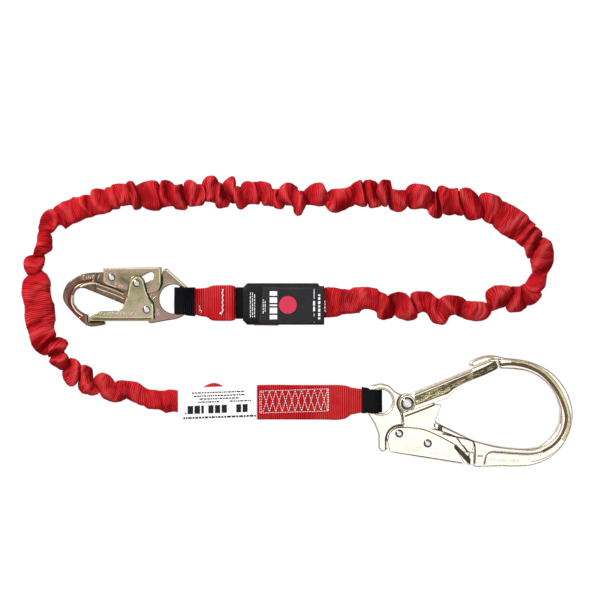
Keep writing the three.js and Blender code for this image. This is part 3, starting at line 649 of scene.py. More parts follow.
def tape_section(width, thickness, scallop=0.0):
    """A flat section with rounded edges, as offsets across and up."""
    radius = thickness / 2
    half = width / 2 - radius + scallop
    across = 18
    top = [(lerp(half, -half, k / across), radius) for k in range(across + 1)]
    arc = [math.pi * (k + 1) / 5 for k in range(4)]
    left = [(-half - radius * math.sin(a), radius * math.cos(a)) for a in arc]
    return top + left + [(-u, -v) for u, v in top] + [(-u, -v) for u, v in left]


def tape(name, stations, thickness, material, replaces=(), crown=0.0):
    """A flat tape through stations of (x, z, middle y, width) in millimetres."""
    line = smooth_line(stations, 12)
    at = run_length(line[:, :2])
    distances = np.arange(0, at[-1] + TAPE_STEP / 2, TAPE_STEP)
    rows = np.array([[np.interp(d, at, line[:, k]) for k in range(4)] for d in distances])
    rings = []
    for i, (x, z, y, width) in enumerate(rows):
        low, high = rows[max(i - 1, 0)], rows[min(i + 1, len(rows) - 1)]
        dx, dz = high[0] - low[0], high[1] - low[1]
        size = math.hypot(dx, dz)
        up = (-dz / size, dx / size)
        scallop = 0.12 * math.sin(2 * math.pi * distances[i] / RIB)
        ring = []
        for u, v in tape_section(width, thickness, scallop):
            lift = v + crown * (1 - (2 * u / width) ** 2)
            soft = noise.noise(Vector((x / 14, (y + u) / 14, z / 14 + 5))) * 0.25
            ring.append((x + up[0] * (lift + soft), y + u, z + up[1] * (lift + soft)))
        rings.append([tuple(c * MM for c in point) for point in ring])
    band = tube_of_rings(name, rings, lengths=[d * MM for d in distances])
    return dress(band, material, replaces=replaces)


def loop_stations(bar, direction, radius, legs, closing, places):
    """Stations round a bar: in along the top leg, round the bar, and out along the lower leg.

    places are (reach, middle y, width), from the bar outwards.
    """
    bar_x, bar_z = bar
    reach = [p[0] for p in places]

    def station(out, z, near):
        y = np.interp(near, reach, [p[1] for p in places])
        width = np.interp(near, reach, [p[2] for p in places])
        return (bar_x + direction * out, bar_z + z, y, width)

    outs = np.linspace(legs, 0.0, 5)
    top = [station(out, radius - closing * out, out) for out in outs]
    turn = [
        station(-radius * math.sin(a), radius * math.cos(a), 0.0) for a in np.linspace(0, math.pi, 9)[1:-1]
    ]
    low = [station(out, closing * out - radius, out) for out in outs[::-1]]
    return top + turn + low


def sewn_layers(name, x0, x1, y, width, low, high, material, node):
    """Three tapes sewn on each other, their ends a little out of line. The top one stands for the node."""
    each = (high - low) / 3
    for k, shift in enumerate((-0.5, 0.0, 0.5)):
        z = low + each * (k + 0.5)
        middle = ((x0 + x1) / 2, z, y, width - 0.3 * (k % 2))
        stations = [(x0 + shift, z, y, width), middle, (x1 - shift, z, y, width)]
        replaces = [node] if k == 2 else ()
        tape(f"{name}_{k + 1}", stations, each * 1.02, material, replaces, crown=0.15)


def snap_end():
    strap_places = [(0, 70.6, 25.4), (8, 69.6, 26.4), (13, 68.2, 28.2), (21.6, 67.6, 30.5)]
    loop = loop_stations(SNAP_BAR, 1, 7.3, 21.4, 0.27, strap_places)
    tape("snap_loop", loop, 2.0, RED_WEBBING, ["snap_end_loop"])
    pad_places = [(0, 69.2, 28.6), (3, 68.6, 29.4), (6, 68.5, 30.0), (11.1, 68.3, 30.6)]
    pad = loop_stations(SNAP_BAR, 1, 10.0, 11.0, 0.3, pad_places)
    tape("snap_pad", pad, 1.5, BLACK_WEBBING, ["snap_wear_pad"])
    overlap_tape()
    sewn_layers("sleeve", -85.2, -66.0, 67.0, 33.4, 2.4, 14.4, BLACK_WEBBING, "pack_sleeve")
    sewn_layers("core_end", -65.6, 6.6, 67.0, 33.0, 2.8, 14.0, RED_WEBBING, "sewn_core_end")


def overlap_tape():
    """The doubled tape beside the pad: it comes in from the left, rolls over at the right and runs back."""
    top, low, right = 11.4, 4.2, -91.4
    radius = 4.7
    middle = low + radius
    over = [(-120.5, 11.8, 67.9, 29.4), (-116.5, 12.0, 67.7, 31.0), (-112.5, top, 67.2, 34.6)]
    over += [(-107.0, top, 66.9, 36.8), (-101.0, top, 67.0, 37.2), (-97.8, top - 0.6, 67.0, 37.2)]
    over += [(-96.4, 10.6, 67.0, 37.2)]
    roll = []
    for a in np.linspace(-0.75, math.pi, 10)[:-1]:
        width = 37.4 - 3.6 * max(math.sin(a), 0) ** 3
        roll.append((right + radius * math.sin(a), middle + radius * math.cos(a), 67.0, width))
    back = [(right, low, 67.0, 37.8), (-99, low, 67.0, 37.8), (-106, low, 67.0, 37.6)]
    back += [(-111.0, low, 67.0, 36.8), (-114.6, low + 0.6, 67.2, 33.0)]
    tape("overlap_outer", over + roll + back, 2.4, RED_WEBBING, ["snap_end_overlap"])
    filler = [(-114.0, 7.6, 67.2, 33.0), (-104.0, 7.6, 67.2, 36.0), (-97.4, 7.6, 67.2, 36.0)]
    tape("overlap_filler", filler, 4.0, RED_WEBBING)


def rebar_end():
    strap_y = -37.4
    rise = [(-144.4, 4.6), (-100.0, 4.6), (-60.0, 4.6), (-20.0, 4.6), (5.0, 5.6), (22.0, 7.0)]
    widths = {-144.4: 33.6, -100.0: 34.2, 22.0: 36.6}
    for k, lift in enumerate((-2.2, 0.0, 2.2)):
        usual = 36.4 - 0.3 * (k == 1)
        stations = [(x, z + lift, strap_y + 0.04 * min(x + 60.0, 0), widths.get(x, usual)) for x, z in rise]
        stations += [(29.5, 7.7 + lift, strap_y + 0.4, 34.4), (34.4, 8.1 + 0.9 * lift, strap_y + 1.4, 29.6)]
        strap = tape(f"end_strap_{k + 1}", stations, 2.25, RED_WEBBING)
    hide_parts("rebar_end_strap")
    loop_places = [(0, -35.6, 23.4), (12, -35.6, 24.6), (24.0, -36.0, 28.8)]
    loop = loop_stations(REBAR_BAR, -1, 6.9, 24.0, 0.2, loop_places)
    tape("rebar_loop", loop, 1.8, RED_WEBBING, ["rebar_end_loop"])
    pad_places = [(0, -35.4, 24.4), (6, -35.2, 26.0), (11.8, -35.0, 27.4)]
    pad = loop_stations(REBAR_BAR, -1, 8.8, 11.8, 0.2, pad_places)
    tape("rebar_pad", pad, 1.5, BLACK_TWILL, ["rebar_wear_pad"])


# ---- Stitching ----


def shifted(line, dx, dy):
    return [(x + dx, y + dy) for x, y in line]


def ring_line(x, y, radius, count=25):
    """A closed ring of points whose last is the first again."""
    return [(x + radius * math.cos(a), y + radius * math.sin(a)) for a in np.linspace(0, 2 * math.pi, count)]


def stitches(name, runs, height, thickness=0.75, length=2.6, material=THREAD):
    """Short stitches along runs of (x, y) points in millimetres. height(x, y) is the cloth's surface."""
    around = 6
    vertices, faces = [], []
    for start, end in runs:
        span = math.dist(start, end)
        count = max(1, round(span / length))
        for n in range(count):
            shares = [(n + 0.06 + 0.88 * k / 6) / count for k in range(7)]
            direction = ((end[0] - start[0]) / span, (end[1] - start[1]) / span)
            base = len(vertices)
            for k, share in enumerate(shares):
                x, y = lerp(start[0], end[0], share), lerp(start[1], end[1], share)
                arch = math.sin(math.pi * k / 6)
                radius = thickness / 2 * (0.55 + 0.45 * arch)
                z = height(x, y) - 0.2 + 0.42 * arch
                for m in range(around):
                    angle = 2 * math.pi * m / around
                    side, up = radius * math.cos(angle), radius * math.sin(angle)
                    point = (x - direction[1] * side, y + direction[0] * side, z + up)
                    vertices.append(tuple(c * MM for c in point))
            for k in range(6):
                for m in range(around):
                    a, b = base + k * around + m, base + k * around + (m + 1) % around
                    faces.append((a, b, b + around, a + around))
            faces.append(tuple(base + m for m in reversed(range(around))))
            faces.append(tuple(base + 6 * around + m for m in range(around)))
    dress(mesh_object(name, vertices, faces), material)


def strap_height(x, y):
    """Top of the sewn strap at the large hook's end."""
    return float(np.interp(x, [-60, -20, 5, 22], [4.6, 4.6, 5.6, 7.0])) + 3.35


def strap_stitching():
    """A box of stitches with two zigzags that cross in it."""
    left, right = -60.6, 11.6

    def top(x):
        return lerp(-25.6, -23.2, (x - left) / (right - left))

    def low(x):
        return lerp(-48.6, -46.4, (x - left) / (right - left))

    runs = [((left, top(left)), (right, top(right))), ((left, low(left)), (right, low(right)))]
    runs += [((x, top(x)), (x, low(x))) for x in (left, left + 1.7, right - 0.9, right)]
    pitch = (right - left - 4.5) / 10
    for phase in (0, 1):
        xs = [left + 3.2 + pitch * k for k in range(11)]
        edge = [(x, top(x) - 0.6) if (k + phase) % 2 == 0 else (x, low(x) + 0.8) for k, x in enumerate(xs)]
        runs += list(zip(edge, edge[1:]))
    stitches("strap_stitches", runs, strap_height)


TACK_TOP = 12.75  # height of the doubled tape under the bar tack
FRAY_TOP = 16.4  # height that the loose threads beside the cover lie at


def overlap_bar_tack():
    """A dense wavy bar of white thread across the doubled tape."""
    steps = 46
    points = [(-99.6 + 0.45 * math.sin(k * 0.62), lerp(81.4, 58.4, k / steps)) for k in range(steps + 1)]
    points += [(-100.4, 57.0), (-102.6, 56.2), (-100.6, 55.2)]
    runs = [((x - 0.55, y), (x + 0.75, y - 0.1)) for x, y in points]
    runs += list(zip(points, points[1:]))
    stitches("bar_tack", runs, lambda x, y: TACK_TOP, thickness=1.3, length=1.6)


def pulled_thread():
    """A thread pulled out of the loop beside the pad."""
    surface = Surface(bpy.data.objects["snap_loop"])
    loose = [(-124.6, 64.6), (-122.6, 61.4), (-124.0, 59.0), (-121.4, 59.4), (-122.4, 56.2)]
    runs = list(zip(loose, loose[1:]))
    stitches("pulled_thread", runs, lambda x, y: surface.top(x, y) + 0.1, thickness=0.6)


def frayed_end():
    """White threads where the jacket enters the cover, and the red edge that shows below the cover."""
    fray = [(7.5, 69.8), (7.7, 64.0), (7.4, 60.2), (8.2, 57.4)]
    stitches("frayed_thread", list(zip(fray, fray[1:])), lambda x, y: FRAY_TOP, thickness=1.1)
    edge = [(-69.7, 44.9), (-66.0, 43.5), (-42.0, 43.2), (-39.4, 44.6), (-39.4, 47.0), (-69.7, 47.0)]
    plate_piece("lining_edge", edge, 6.0, 7.0, RED_TUBE, "lanyard")


# ---- Labels ----


def slab_patch(vertices, faces, outline, height, thickness=0.14):
    """Adds a thin flat patch with the given outline of (x, y) points, lying on height(x, y)."""
    base, count = len(vertices), len(outline)
    for lift in (thickness, -0.1):
        vertices += [(x * MM, y * MM, (height(x, y) + lift) * MM) for x, y in outline]
    faces.append(tuple(base + k for k in range(count)))
    faces.append(tuple(base + count + k for k in reversed(range(count))))
    for k in range(count):
        m = (k + 1) % count
        faces.append((base + m, base + k, base + count + k, base + count + m))


def printed(name, outlines, height, material, body="lanyard"):
    vertices, faces = [], []
    for outline in outlines:
        slab_patch(vertices, faces, outline, height)
    dress(mesh_object(name, vertices, faces, smooth=False), material, body)


def bar(x0, x1, y0, y1):
    return [(x0, y0), (x1, y0), (x1, y1), (x0, y1)]


def text_bars(rng, x0, x1, y, thickness, word=(2.0, 6.0), gap=0.9, upright=False):
    """Bars that stand for a line of words, each a word long. upright turns the line to run along y."""
    bars, place = [], x0
    while place < x1 - word[0]:
        end = min(place + rng.uniform(*word), x1)
        if upright:
            bars.append(bar(y - thickness / 2, y + thickness / 2, place, end))
        else:
            bars.append(bar(place, end, y - thickness / 2, y + thickness / 2))
        place = end + gap
    return bars


COVER = {"x0": -78.4, "x1": 6.7, "y": 66.0, "half": 21.9, "step_x": 0.6, "step": 3.0}
COVER_TOP = 16.15  # height that the print on the wrap lies on


def cover_half(x):
    """Half width of the cover: its left corners are cut back."""
    return min(COVER["half"], COVER["half"] - 4.6 + (x - COVER["x0"]))


def cover_ring(x, steps=56):
    half = cover_half(x)
    ring = []
    for k in range(steps):
        angle = 2 * math.pi * k / steps
        side = signed_power(math.cos(angle), 0.30) * half
        if x > COVER["step_x"]:
            side = min(side, half - COVER["step"])
        rise = signed_power(math.sin(angle), 0.42)
        wave = 0.35 * noise.noise(Vector((x / 16, side / 12, 2.0)))
        z = 8.3 + rise * (7.7 if rise > 0 else 7.9) + (wave if rise > 0.3 else 0)
        ring.append((x * MM, (COVER["y"] + side) * MM, max(z, 0.3) * MM))
    return ring


def label_cover():
    xs = [COVER["x0"] + d for d in (0, 0.5, 1.2, 2.2, 3.4, 4.6, 6)]
    xs += list(np.arange(-70, COVER["x1"] - 1, 1.8)) + [COVER["x1"] - 0.6, COVER["x1"]]
    sleeve = tube_of_rings("cover_wrap", [cover_ring(x) for x in xs])
    dress(sleeve, COVER_CLOTH, replaces=["label_cover"])


PANEL = {"x0": -62.0, "x1": 6.9, "y0": 44.6, "y1": 84.6, "z": 16.9}


def panel_height(x, y):
    """Top of the cover's front panel: nearly flat, turned down at the long edges."""
    middle = (PANEL["y0"] + PANEL["y1"]) / 2
    share = abs(y - middle) / (PANEL["y1"] - middle)
    droop = 1.5 * max(0.0, share - 0.86) / 0.14
    return PANEL["z"] - droop + 0.18 * noise.noise(Vector((x / 18, y / 14, 4.0)))


def front_panel():
    """A stitched panel on the cover, with its left edge slanted a little."""
    across, along = 26, 44
    thickness = 0.9
    vertices, faces = [], []
    for lift in (0.0, -thickness):
        for i in range(along + 1):
            for j in range(across + 1):
                y = lerp(PANEL["y0"], PANEL["y1"], j / across)
                left = PANEL["x0"] + 0.13 * (y - PANEL["y0"])
                x = lerp(left, PANEL["x1"], i / along)
                vertices.append((x * MM, y * MM, (panel_height(x, y) + lift) * MM))
    row, layer = across + 1, (along + 1) * (across + 1)
    for i in range(along):
        for j in range(across):
            a = i * row + j
            faces.append((a, a + row, a + row + 1, a + 1))
            faces.append((layer + a, layer + a + 1, layer + a + row + 1, layer + a + row))
    rim = [i * row for i in range(along)] + [along * row + j for j in range(across)]
    rim += [i * row + across for i in range(along, 0, -1)] + list(range(across, 0, -1))
    for a, b in zip(rim, rim[1:] + rim[:1]):
        faces.append((b, a, layer + a, layer + b))
    dress(mesh_object("cover_panel", vertices, faces), PANEL_CLOTH)


def cover_print():
    rng = random.Random(5)
    white = []
    for x in (-70.4, -68.2, -66.0):
        white += text_bars(rng, 52.0, 78.0, x, 0.75, word=(1.5, 4.5), upright=True)
    printed("cover_notes", white, lambda x, y: COVER_TOP, INK_WHITE)
    white = []
    for x, low, high in ((-57.0, 56.0, 71.0), (-55.0, 58.0, 70.0)):
        white += text_bars(rng, low, high, x, 0.8, word=(1.5, 3.5), upright=True)
    for low, high in ((50.0, 54.6), (56.2, 62.2), (63.8, 65.6), (67.2, 73.0), (74.6, 79.4)):
        white.append(bar(-50.2, -42.4, low, high))
    white += [bar(-4.1, -3.4, 71.6, 81.6), bar(-4.1, -3.4, 46.6, 56.0), bar(-4.8, -2.8, 58.4, 63.2)]
    white += [bar(-4.8, -2.8, 64.4, 69.2)]
    white += text_bars(rng, 50.0, 76.0, 1.6, 2.2, word=(1.6, 3.4), gap=1.3, upright=True)
    printed("panel_marks", white, panel_height, INK_WHITE)
    disc = ring_line(-31.2, 65.1, 9.3, 49)[:-1]
    printed("panel_disc", [disc], lambda x, y: PANEL["z"] + 0.06, INK_RED)


def cover_stitching():
    edge_top, edge_low = PANEL["y1"] - 2.9, PANEL["y0"] + 2.4
    runs = [((-55.0, edge_top), (-6.0, edge_top)), ((-60.0, edge_low), (-6.0, edge_low))]
    runs += [((-59.4, 50.0), (-56.6, 81.0))]
    stitches("cover_stitches", runs, panel_height, 0.5, 2.4, GREY_THREAD)


LABEL = {"x0": -146.6, "x1": -63.0, "y": -37.3, "half": 18.1, "turn": 0.036}


def label_place(x, y):
    """A point of the label, which is sewn on a little askew."""
    return (x, y + LABEL["turn"] * (x - LABEL["x1"]) - 0.2)


def label_height(x, y):
    return 8.75 + 0.22 * noise.noise(Vector((x / 20, y / 12, 9.0)))


def capacity_label():
    steps = 48
    rings = []
    for x in np.arange(LABEL["x0"], LABEL["x1"] + 0.1, 1.6):
        ring = []
        for k in range(steps):
            angle = 2 * math.pi * k / steps
            side = signed_power(math.cos(angle), 0.22) * LABEL["half"]
            rise = signed_power(math.sin(angle), 0.35)
            px, py = label_place(x, LABEL["y"] + side)
            z = label_height(px, py) if rise > 0.5 else 4.6 + rise * 4.1
            ring.append((px * MM, py * MM, max(z, 0.3) * MM))
        rings.append(ring)
    dress(tube_of_rings("label_sheet", rings), LABEL_FILM, replaces=["capacity_label"])


SCALE_BARS = (
    (-139.4, -138.0), (-136.6, -130.8), (-129.4, -123.6), (-122.2, -119.6), (-114.8, -109.4),
    (-107.8, -102.4), (-100.8, -95.4), (-85.4, -80.4), (-78.8, -73.6),
)


def label_print():
    rng = random.Random(11)
    bars = []
    for y, x0, x1 in ((-25.0, -132, -76), (-28.4, -130, -77), (-31.6, -124, -82), (-34.8, -126, -102)):
        bars += text_bars(rng, x0, x1, y, 1.25, word=(1.0, 3.4), gap=0.8)
    bars += text_bars(rng, -92, -70, -34.8, 1.25, word=(1.0, 3.4), gap=0.8)
    bars += text_bars(rng, -141, -65, -51.0, 1.9, word=(1.4, 4.2), gap=0.9)
    bars += [bar(x0, x1, -46.8, -38.4 if x0 > -138.5 else -45.2) for x0, x1 in SCALE_BARS]
    outlines = [[label_place(x, y) for x, y in outline] for outline in bars]
    printed("label_bars", outlines, label_height, INK_BLACK)


def strap_bump():
    """A fold of the strap that shows past the label's far edge."""
    stations = []
    for x in np.linspace(-122, -96, 8):
        swell = math.sin(math.pi * (x + 122) / 26)
        stations.append((x, 4.4 + 2.2 * swell, -30.0 + 5.6 * swell, 15.0))
    tape("strap_fold", stations, 3.2, RED_WEBBING)


# ---- Plated steel ----


def forged(name, node, material, slot, body, voxel=0.8, rounds=5, relief=None):
    """A smooth forging made from a CAD node. relief(points) moves its points, in millimetres."""
    source = bpy.data.objects.new(name + "_source", NODES[node].data.copy())
    bpy.context.scene.collection.objects.link(source)
    remesh = source.modifiers.new("remesh", "REMESH")
    remesh.mode = "VOXEL"
    remesh.voxel_size = voxel * MM
    soften = source.modifiers.new("soften", "SMOOTH")
    soften.factor = 0.5
    soften.iterations = rounds
    graph = bpy.context.evaluated_depsgraph_get()
    mesh = bpy.data.meshes.new_from_object(source.evaluated_get(graph))
    bpy.data.objects.remove(source)
    mesh.name = name
    if relief is not None:
        points = np.zeros(len(mesh.vertices) * 3)
        mesh.vertices.foreach_get("co", points)
        moved = relief(points.reshape(-1, 3) / MM) * MM
        mesh.vertices.foreach_set("co", moved.ravel())
    mesh.materials.clear()
    mesh.polygons.foreach_set("material_index", [0] * len(mesh.polygons))
    mesh.polygons.foreach_set("use_smooth", [True] * len(mesh.polygons))
    mesh.update()
    obj = bpy.data.objects.new(name, mesh)
    bpy.context.scene.collection.objects.link(obj)
    return dress(obj, material, body, [node])


def distance_to_line(points, line):
    """Distance in plan from each point to a line of (x, y) points."""
    best = np.full(len(points), 1e9)
    for a, b in zip(line, line[1:]):
        a, b = np.array(a, float), np.array(b, float)
        step = b - a
        share = np.clip(((points[:, :2] - a) @ step) / (step @ step), 0, 1)
        near = a + share[:, None] * step
        best = np.minimum(best, np.linalg.norm(points[:, :2] - near, axis=1))
    return best


NOSE_GROOVE = shifted([
    (-85, 19.8), (-92, 18.2), (-99.6, 15.9), (-105.4, 11), (-108.8, 4.4), (-109.8, -0.5), (-108, -7.8),
    (-102.4, -15.3), (-98.6, -18.6),
], *SNAP_EYE[:2])


NOSE_HALF, SHANK_HALF = 6.4, 5.0  # half thicknesses of the snap hook's nose and shank


def snap_relief(points):
    """A groove along the nose, and a slow change of thickness where the nose runs into the thin shank."""
    points = points.copy()
    x, up = points[:, 0] - SNAP_EYE[0], points[:, 2] - SNAP_EYE[2]
    own = np.where(x < -82, NOSE_HALF, SHANK_HALF)
    share = np.clip((x + 94) / 22, 0, 1)
    wanted = 6.4 - 1.4 * share**2 * (3 - 2 * share)
    near = (x > -94) & (x < -72) & (points[:, 1] > SNAP_EYE[1] + 4)
    up = np.where(near, up * wanted / own, up)
    away = distance_to_line(points, smooth_line(NOSE_GROOVE, 8).tolist())
    sink = 0.9 * np.exp(-((away / 1.1) ** 2))
    points[:, 2] = SNAP_EYE[2] + up - np.sign(up) * (abs(up) > 4.0) * sink
    return points


class Surface:
    """The upper side of a mesh, read by x and y in millimetres."""

    def __init__(self, obj):
        mesh = obj.data
        self.tree = BVHTree.FromPolygons([v.co for v in mesh.vertices], [p.vertices for p in mesh.polygons])

    def top(self, x, y):
        hit = self.tree.ray_cast(Vector((x * MM, y * MM, 0.1)), Vector((0, 0, -1)))[0]
        return None if hit is None else hit.z / MM


def scribed(name, lines, target, material, slot, body, lift=0.06):
    """Thin bands that lie on a part: film, paint, painted shade and painted highlights. lines holds (points,
    width) in millimetres.
    """
    surface = Surface(target)
    vertices, faces = [], []
    for points, width in lines:
        line = smooth_line(points, 10) if len(points) > 2 else np.array(points, float)
        at = run_length(line)
        centre = [np.array([np.interp(d, at, line[:, k]) for k in (0, 1)]) for d in np.arange(0, at[-1], 0.7)]
        centre.append(line[-1])
        previous = None
        for i, point in enumerate(centre):
            step = centre[min(i + 1, len(centre) - 1)] - centre[max(i - 1, 0)]
            left = np.array([-step[1], step[0]]) / np.linalg.norm(step)
            spots = [point + left * width * (k / 3 - 0.5) for k in range(4)]
            heights = [surface.top(*spot) for spot in spots]
            if any(height is None for height in heights):
                previous = None
                continue
            base = len(vertices)
            for spot, height in zip(spots, heights):
                vertices.append((spot[0] * MM, spot[1] * MM, (height + lift) * MM))
            for spot, height in zip(reversed(spots), reversed(heights)):
                vertices.append((spot[0] * MM, spot[1] * MM, (height - 0.3) * MM))
            if previous is None:
                faces.append(tuple(reversed(range(base, base + 8))))
            else:
                faces.pop()
                for k in range(8):
                    m = (k + 1) % 8
                    faces.append((previous + k, previous + m, base + m, base + k))
            faces.append(tuple(range(base, base + 8)))
            previous = base
    dress(mesh_object(name, vertices, faces), material, body)


def domed_rivet(name, node, material, body):
    """A rivet with a round dome on each face."""
    low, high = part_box(node)
    centre = (low + high) / 2
    radius = (high.x - low.x) / 2 / MM
    half = (high.z - low.z) / 2 / MM
    rise = 0.42 * radius
    turns = np.linspace(0, math.pi / 2, 10)
    profile = [(radius * math.sin(a), half - rise + rise * math.cos(a)) for a in turns]
    profile += [(radius, half - rise - 0.3), (radius - 0.5, half - rise - 0.5)]
    profile = profile + [(r, -z) for r, z in reversed(profile)]
    around = 40
    vertices = [(centre.x, centre.y, centre.z + half * MM), (centre.x, centre.y, centre.z - half * MM)]
    rows = profile[1:-1]
    for r, z in rows:
        for k in range(around):
            angle = 2 * math.pi * k / around
            x, y = centre.x + r * math.cos(angle) * MM, centre.y + r * math.sin(angle) * MM
            vertices.append((x, y, centre.z + z * MM))
    faces = [(0, 2 + k, 2 + (k + 1) % around) for k in range(around)]
    for i in range(len(rows) - 1):
        for k in range(around):
            a, b = 2 + i * around + k, 2 + i * around + (k + 1) % around
            faces.append((a, a + around, b + around, b))
    last = 2 + (len(rows) - 1) * around
    faces += [(1, last + (k + 1) % around, last + k) for k in range(around)]
    dress(mesh_object(name, vertices, faces), material, body, [node])


def stamp(x0, y0, x1, y1, height, count, seed):
    """Short strokes in a row that stand for stamped characters, as (points, width) lines."""
    rng = random.Random(seed)
    along = np.array([x1 - x0, y1 - y0]) / count
    up = np.array([-along[1], along[0]]) / np.linalg.norm(along) * height
    strokes = []
    for k in range(count):
        corner = np.array([x0, y0]) + along * k
        kind = rng.choice(("post", "slant", "cross"))
        low, high = corner + along * 0.15, corner + up + along * 0.15
        far_low, far_high = low + along * 0.55, high + along * 0.55
        strokes.append(([tuple(low), tuple(high if kind != "slant" else far_high)], 0.55))
        if kind == "cross":
            strokes.append(([tuple(far_low), tuple(far_high)], 0.55))
        if kind == "post":
            strokes.append(([tuple(high), tuple(far_high)], 0.55))
    return strokes


GATE_LEFT = [
    (-188.8, 93.8), (-192.0, 91.8), (-194.9, 87.8), (-197.4, 78.2), (-200.9, 67.6), (-204.0, 62.0),
    (-208.6, 58.6),
]
GATE_RIGHT = [
    (-188.8, 93.8), (-184.8, 91.8), (-182.4, 87.0), (-180.2, 78.3), (-177.2, 72.2), (-173.6, 66.6),
    (-172.8, 50.4),
]
STEM = [(-231.5, 87.6), (-224.0, 84.8), (-213.5, 81.0), (-203.0, 76.4)]
SADDLE_START = -0.182  # the forging is plated a little differently from here towards its eye, in metres


def nose_lip():
    """The nose runs on below the gate's arm as a rounded lip."""
    rings = []
    for x in (-243.0, -240.0, -236.0, -232.0, -228.0, -225.6, -224.2, -223.4, -223.1):
        middle = 45.5 + 0.08 * (x + 243.0)
        half = 2.2 * math.sqrt(max(0.05, 1 - max(0.0, (x + 225.8) / 2.8) ** 2))
        ring = []
        for angle in np.linspace(0, 2 * math.pi, 24, endpoint=False):
            across, rise = signed_power(math.cos(angle), 0.8), signed_power(math.sin(angle), 0.6)
            ring.append((x * MM, (middle + half * across) * MM, (SNAP_EYE[2] + (3.6 + half) * rise) * MM))
        rings.append(ring)
    dress(tube_of_rings("snap_nose_lip", rings), NOSE_ZINC, "snap_hook")


def film_and_painted_light(target, slot, body):
    """A function that lays bands on the target, each given as its name, lines, material and perhaps lift:
    film, paint, stamped strokes, painted shade and painted highlights.
    """

    def lay(*rows):
        for name, lines, material, *lift in rows:
            scribed(name, lines, target, material, slot, body, *lift)

    return lay


def snap_hook():
    nose_lip()
    slot = "yellow_zinc"
    forging = forged("snap_forging", "snap_hook_body", NOSE_ZINC, slot, "snap_hook", 0.6, 4, snap_relief)
    forging.data.materials.append(SADDLE_ZINC)
    saddle = [int(face.center.x > SADDLE_START) for face in forging.data.polygons]
    forging.data.polygons.foreach_set("material_index", saddle)
    gate = forged("snap_gate_plate", "snap_gate", GATE_ZINC, slot, "snap_gate", 0.45, 2)
    lever = forged("snap_lever_plate", "snap_lock_lever", YELLOW_ZINC, slot, "snap_lever", 0.45, 2)
    on_body = film_and_painted_light(forging, slot, "snap_hook")
    on_gate = film_and_painted_light(gate, slot, "snap_gate")
    on_lever = film_and_painted_light(lever, slot, "snap_lever")
    # rim and bright: painted highlights along the nose's inner rim, an edge by the eye and the edge below the
    # stem
    rim = [(-228, 86.4), (-236, 87.8), (-243.5, 86.2), (-250.6, 82.2), (-255.6, 77.2), (-257.3, 71.0)]
    rim += [(-256.6, 64.6), (-252.3, 58.0), (-246.2, 53.4)]
    bright = [(rim, 1.5), ([(-158.2, 101.6), (-137.6, 83.0)], 1.6), (shifted(STEM, 0, -4.9), 0.8)]
    stamps = stamp(-246, 91.2, -227, 92.6, 4.2, 5, 3) + stamp(-176, 73, -170.5, 70, 5, 2, 4)
    stamps += stamp(-170, 53, -163, 55.5, 5.5, 2, 6)
    on_body(
        ("nose_paint", [(NOSE_GROOVE, 1.7)], PAINT),
        ("snap_bright_edges", bright, LIGHT_ZINC),
        ("snap_stem_band", [(shifted(STEM, 0, -0.6), 2.0)], TAN_ZINC),
        ("snap_body_stamps", stamps, LIGHT_ZINC),
    )
    # Painted highlights along the gate's lower ridge and its two edges, among stamped strokes.
    marks = [([(-237.0, 54.2), (-231, 53.0), (-224.0, 52.0), (-198, 51.9), (-173.0, 52.4)], 0.5)]
    marks += stamp(-227, 54.4, -189, 54.6, 2.6, 13, 8) + [(GATE_LEFT, 0.9), (GATE_RIGHT, 0.9)]
    # The low band is painted shade on the gate's turned-down lower edge.
    on_gate(
        ("snap_gate_marks", marks, LIGHT_ZINC),
        ("snap_gate_low_band", [([(-236.0, 50.6), (-224.0, 50.4), (-174.0, 50.6)], 1.7)], BROWN_ZINC),
    )
    # Painted highlights along the lever's folded top edge and its outline.
    fold = [([(-223.6, 102.6), (-166.0, 103.4)], 1.2), ([(-223.5, 102.0), (-223.5, 89.2)], 0.7)]
    fold += [([(-223.5, 89.0), (-214.6, 84.9), (-202.4, 79.2)], 0.7)]
    fold += [([(-165.4, 102.6), (-165.4, 88.0)], 0.7)]
    beside = [(shifted(GATE_LEFT[:4], -1.6, 0.2), 1.3), (shifted(GATE_RIGHT[:4], 1.5, 0.3), 1.3)]
    on_lever(
        ("snap_lever_fold", fold, LIGHT_ZINC),
        ("snap_lever_stamps", stamp(-213.5, 86.6, -203, 82.6, 2.4, 4, 9), TAN_ZINC),
        ("snap_lever_shadow", beside, SHADOW_ZINC),
    )
    under = [(shifted(GATE_RIGHT[3:], 1.6, 0), 1.4), (shifted(STEM, 0, 1.6), 1.2)]
    under += [([(-163.2, 101.0), (-162.8, 88.0), (-166.4, 80.0)], 1.6)]
    on_body(("snap_body_shadow", under, SHADOW_ZINC))
    for name, node, body in (
        ("snap_gate_rivet", "snap_gate_pivot_rivet", "snap_hook"),
        ("snap_pin_rivet", "snap_lock_pin", "snap_gate"),
        ("snap_lever_rivet", "snap_lock_pivot_rivet", "snap_hook"),
    ):
        domed_rivet(name, node, CHROME, body)


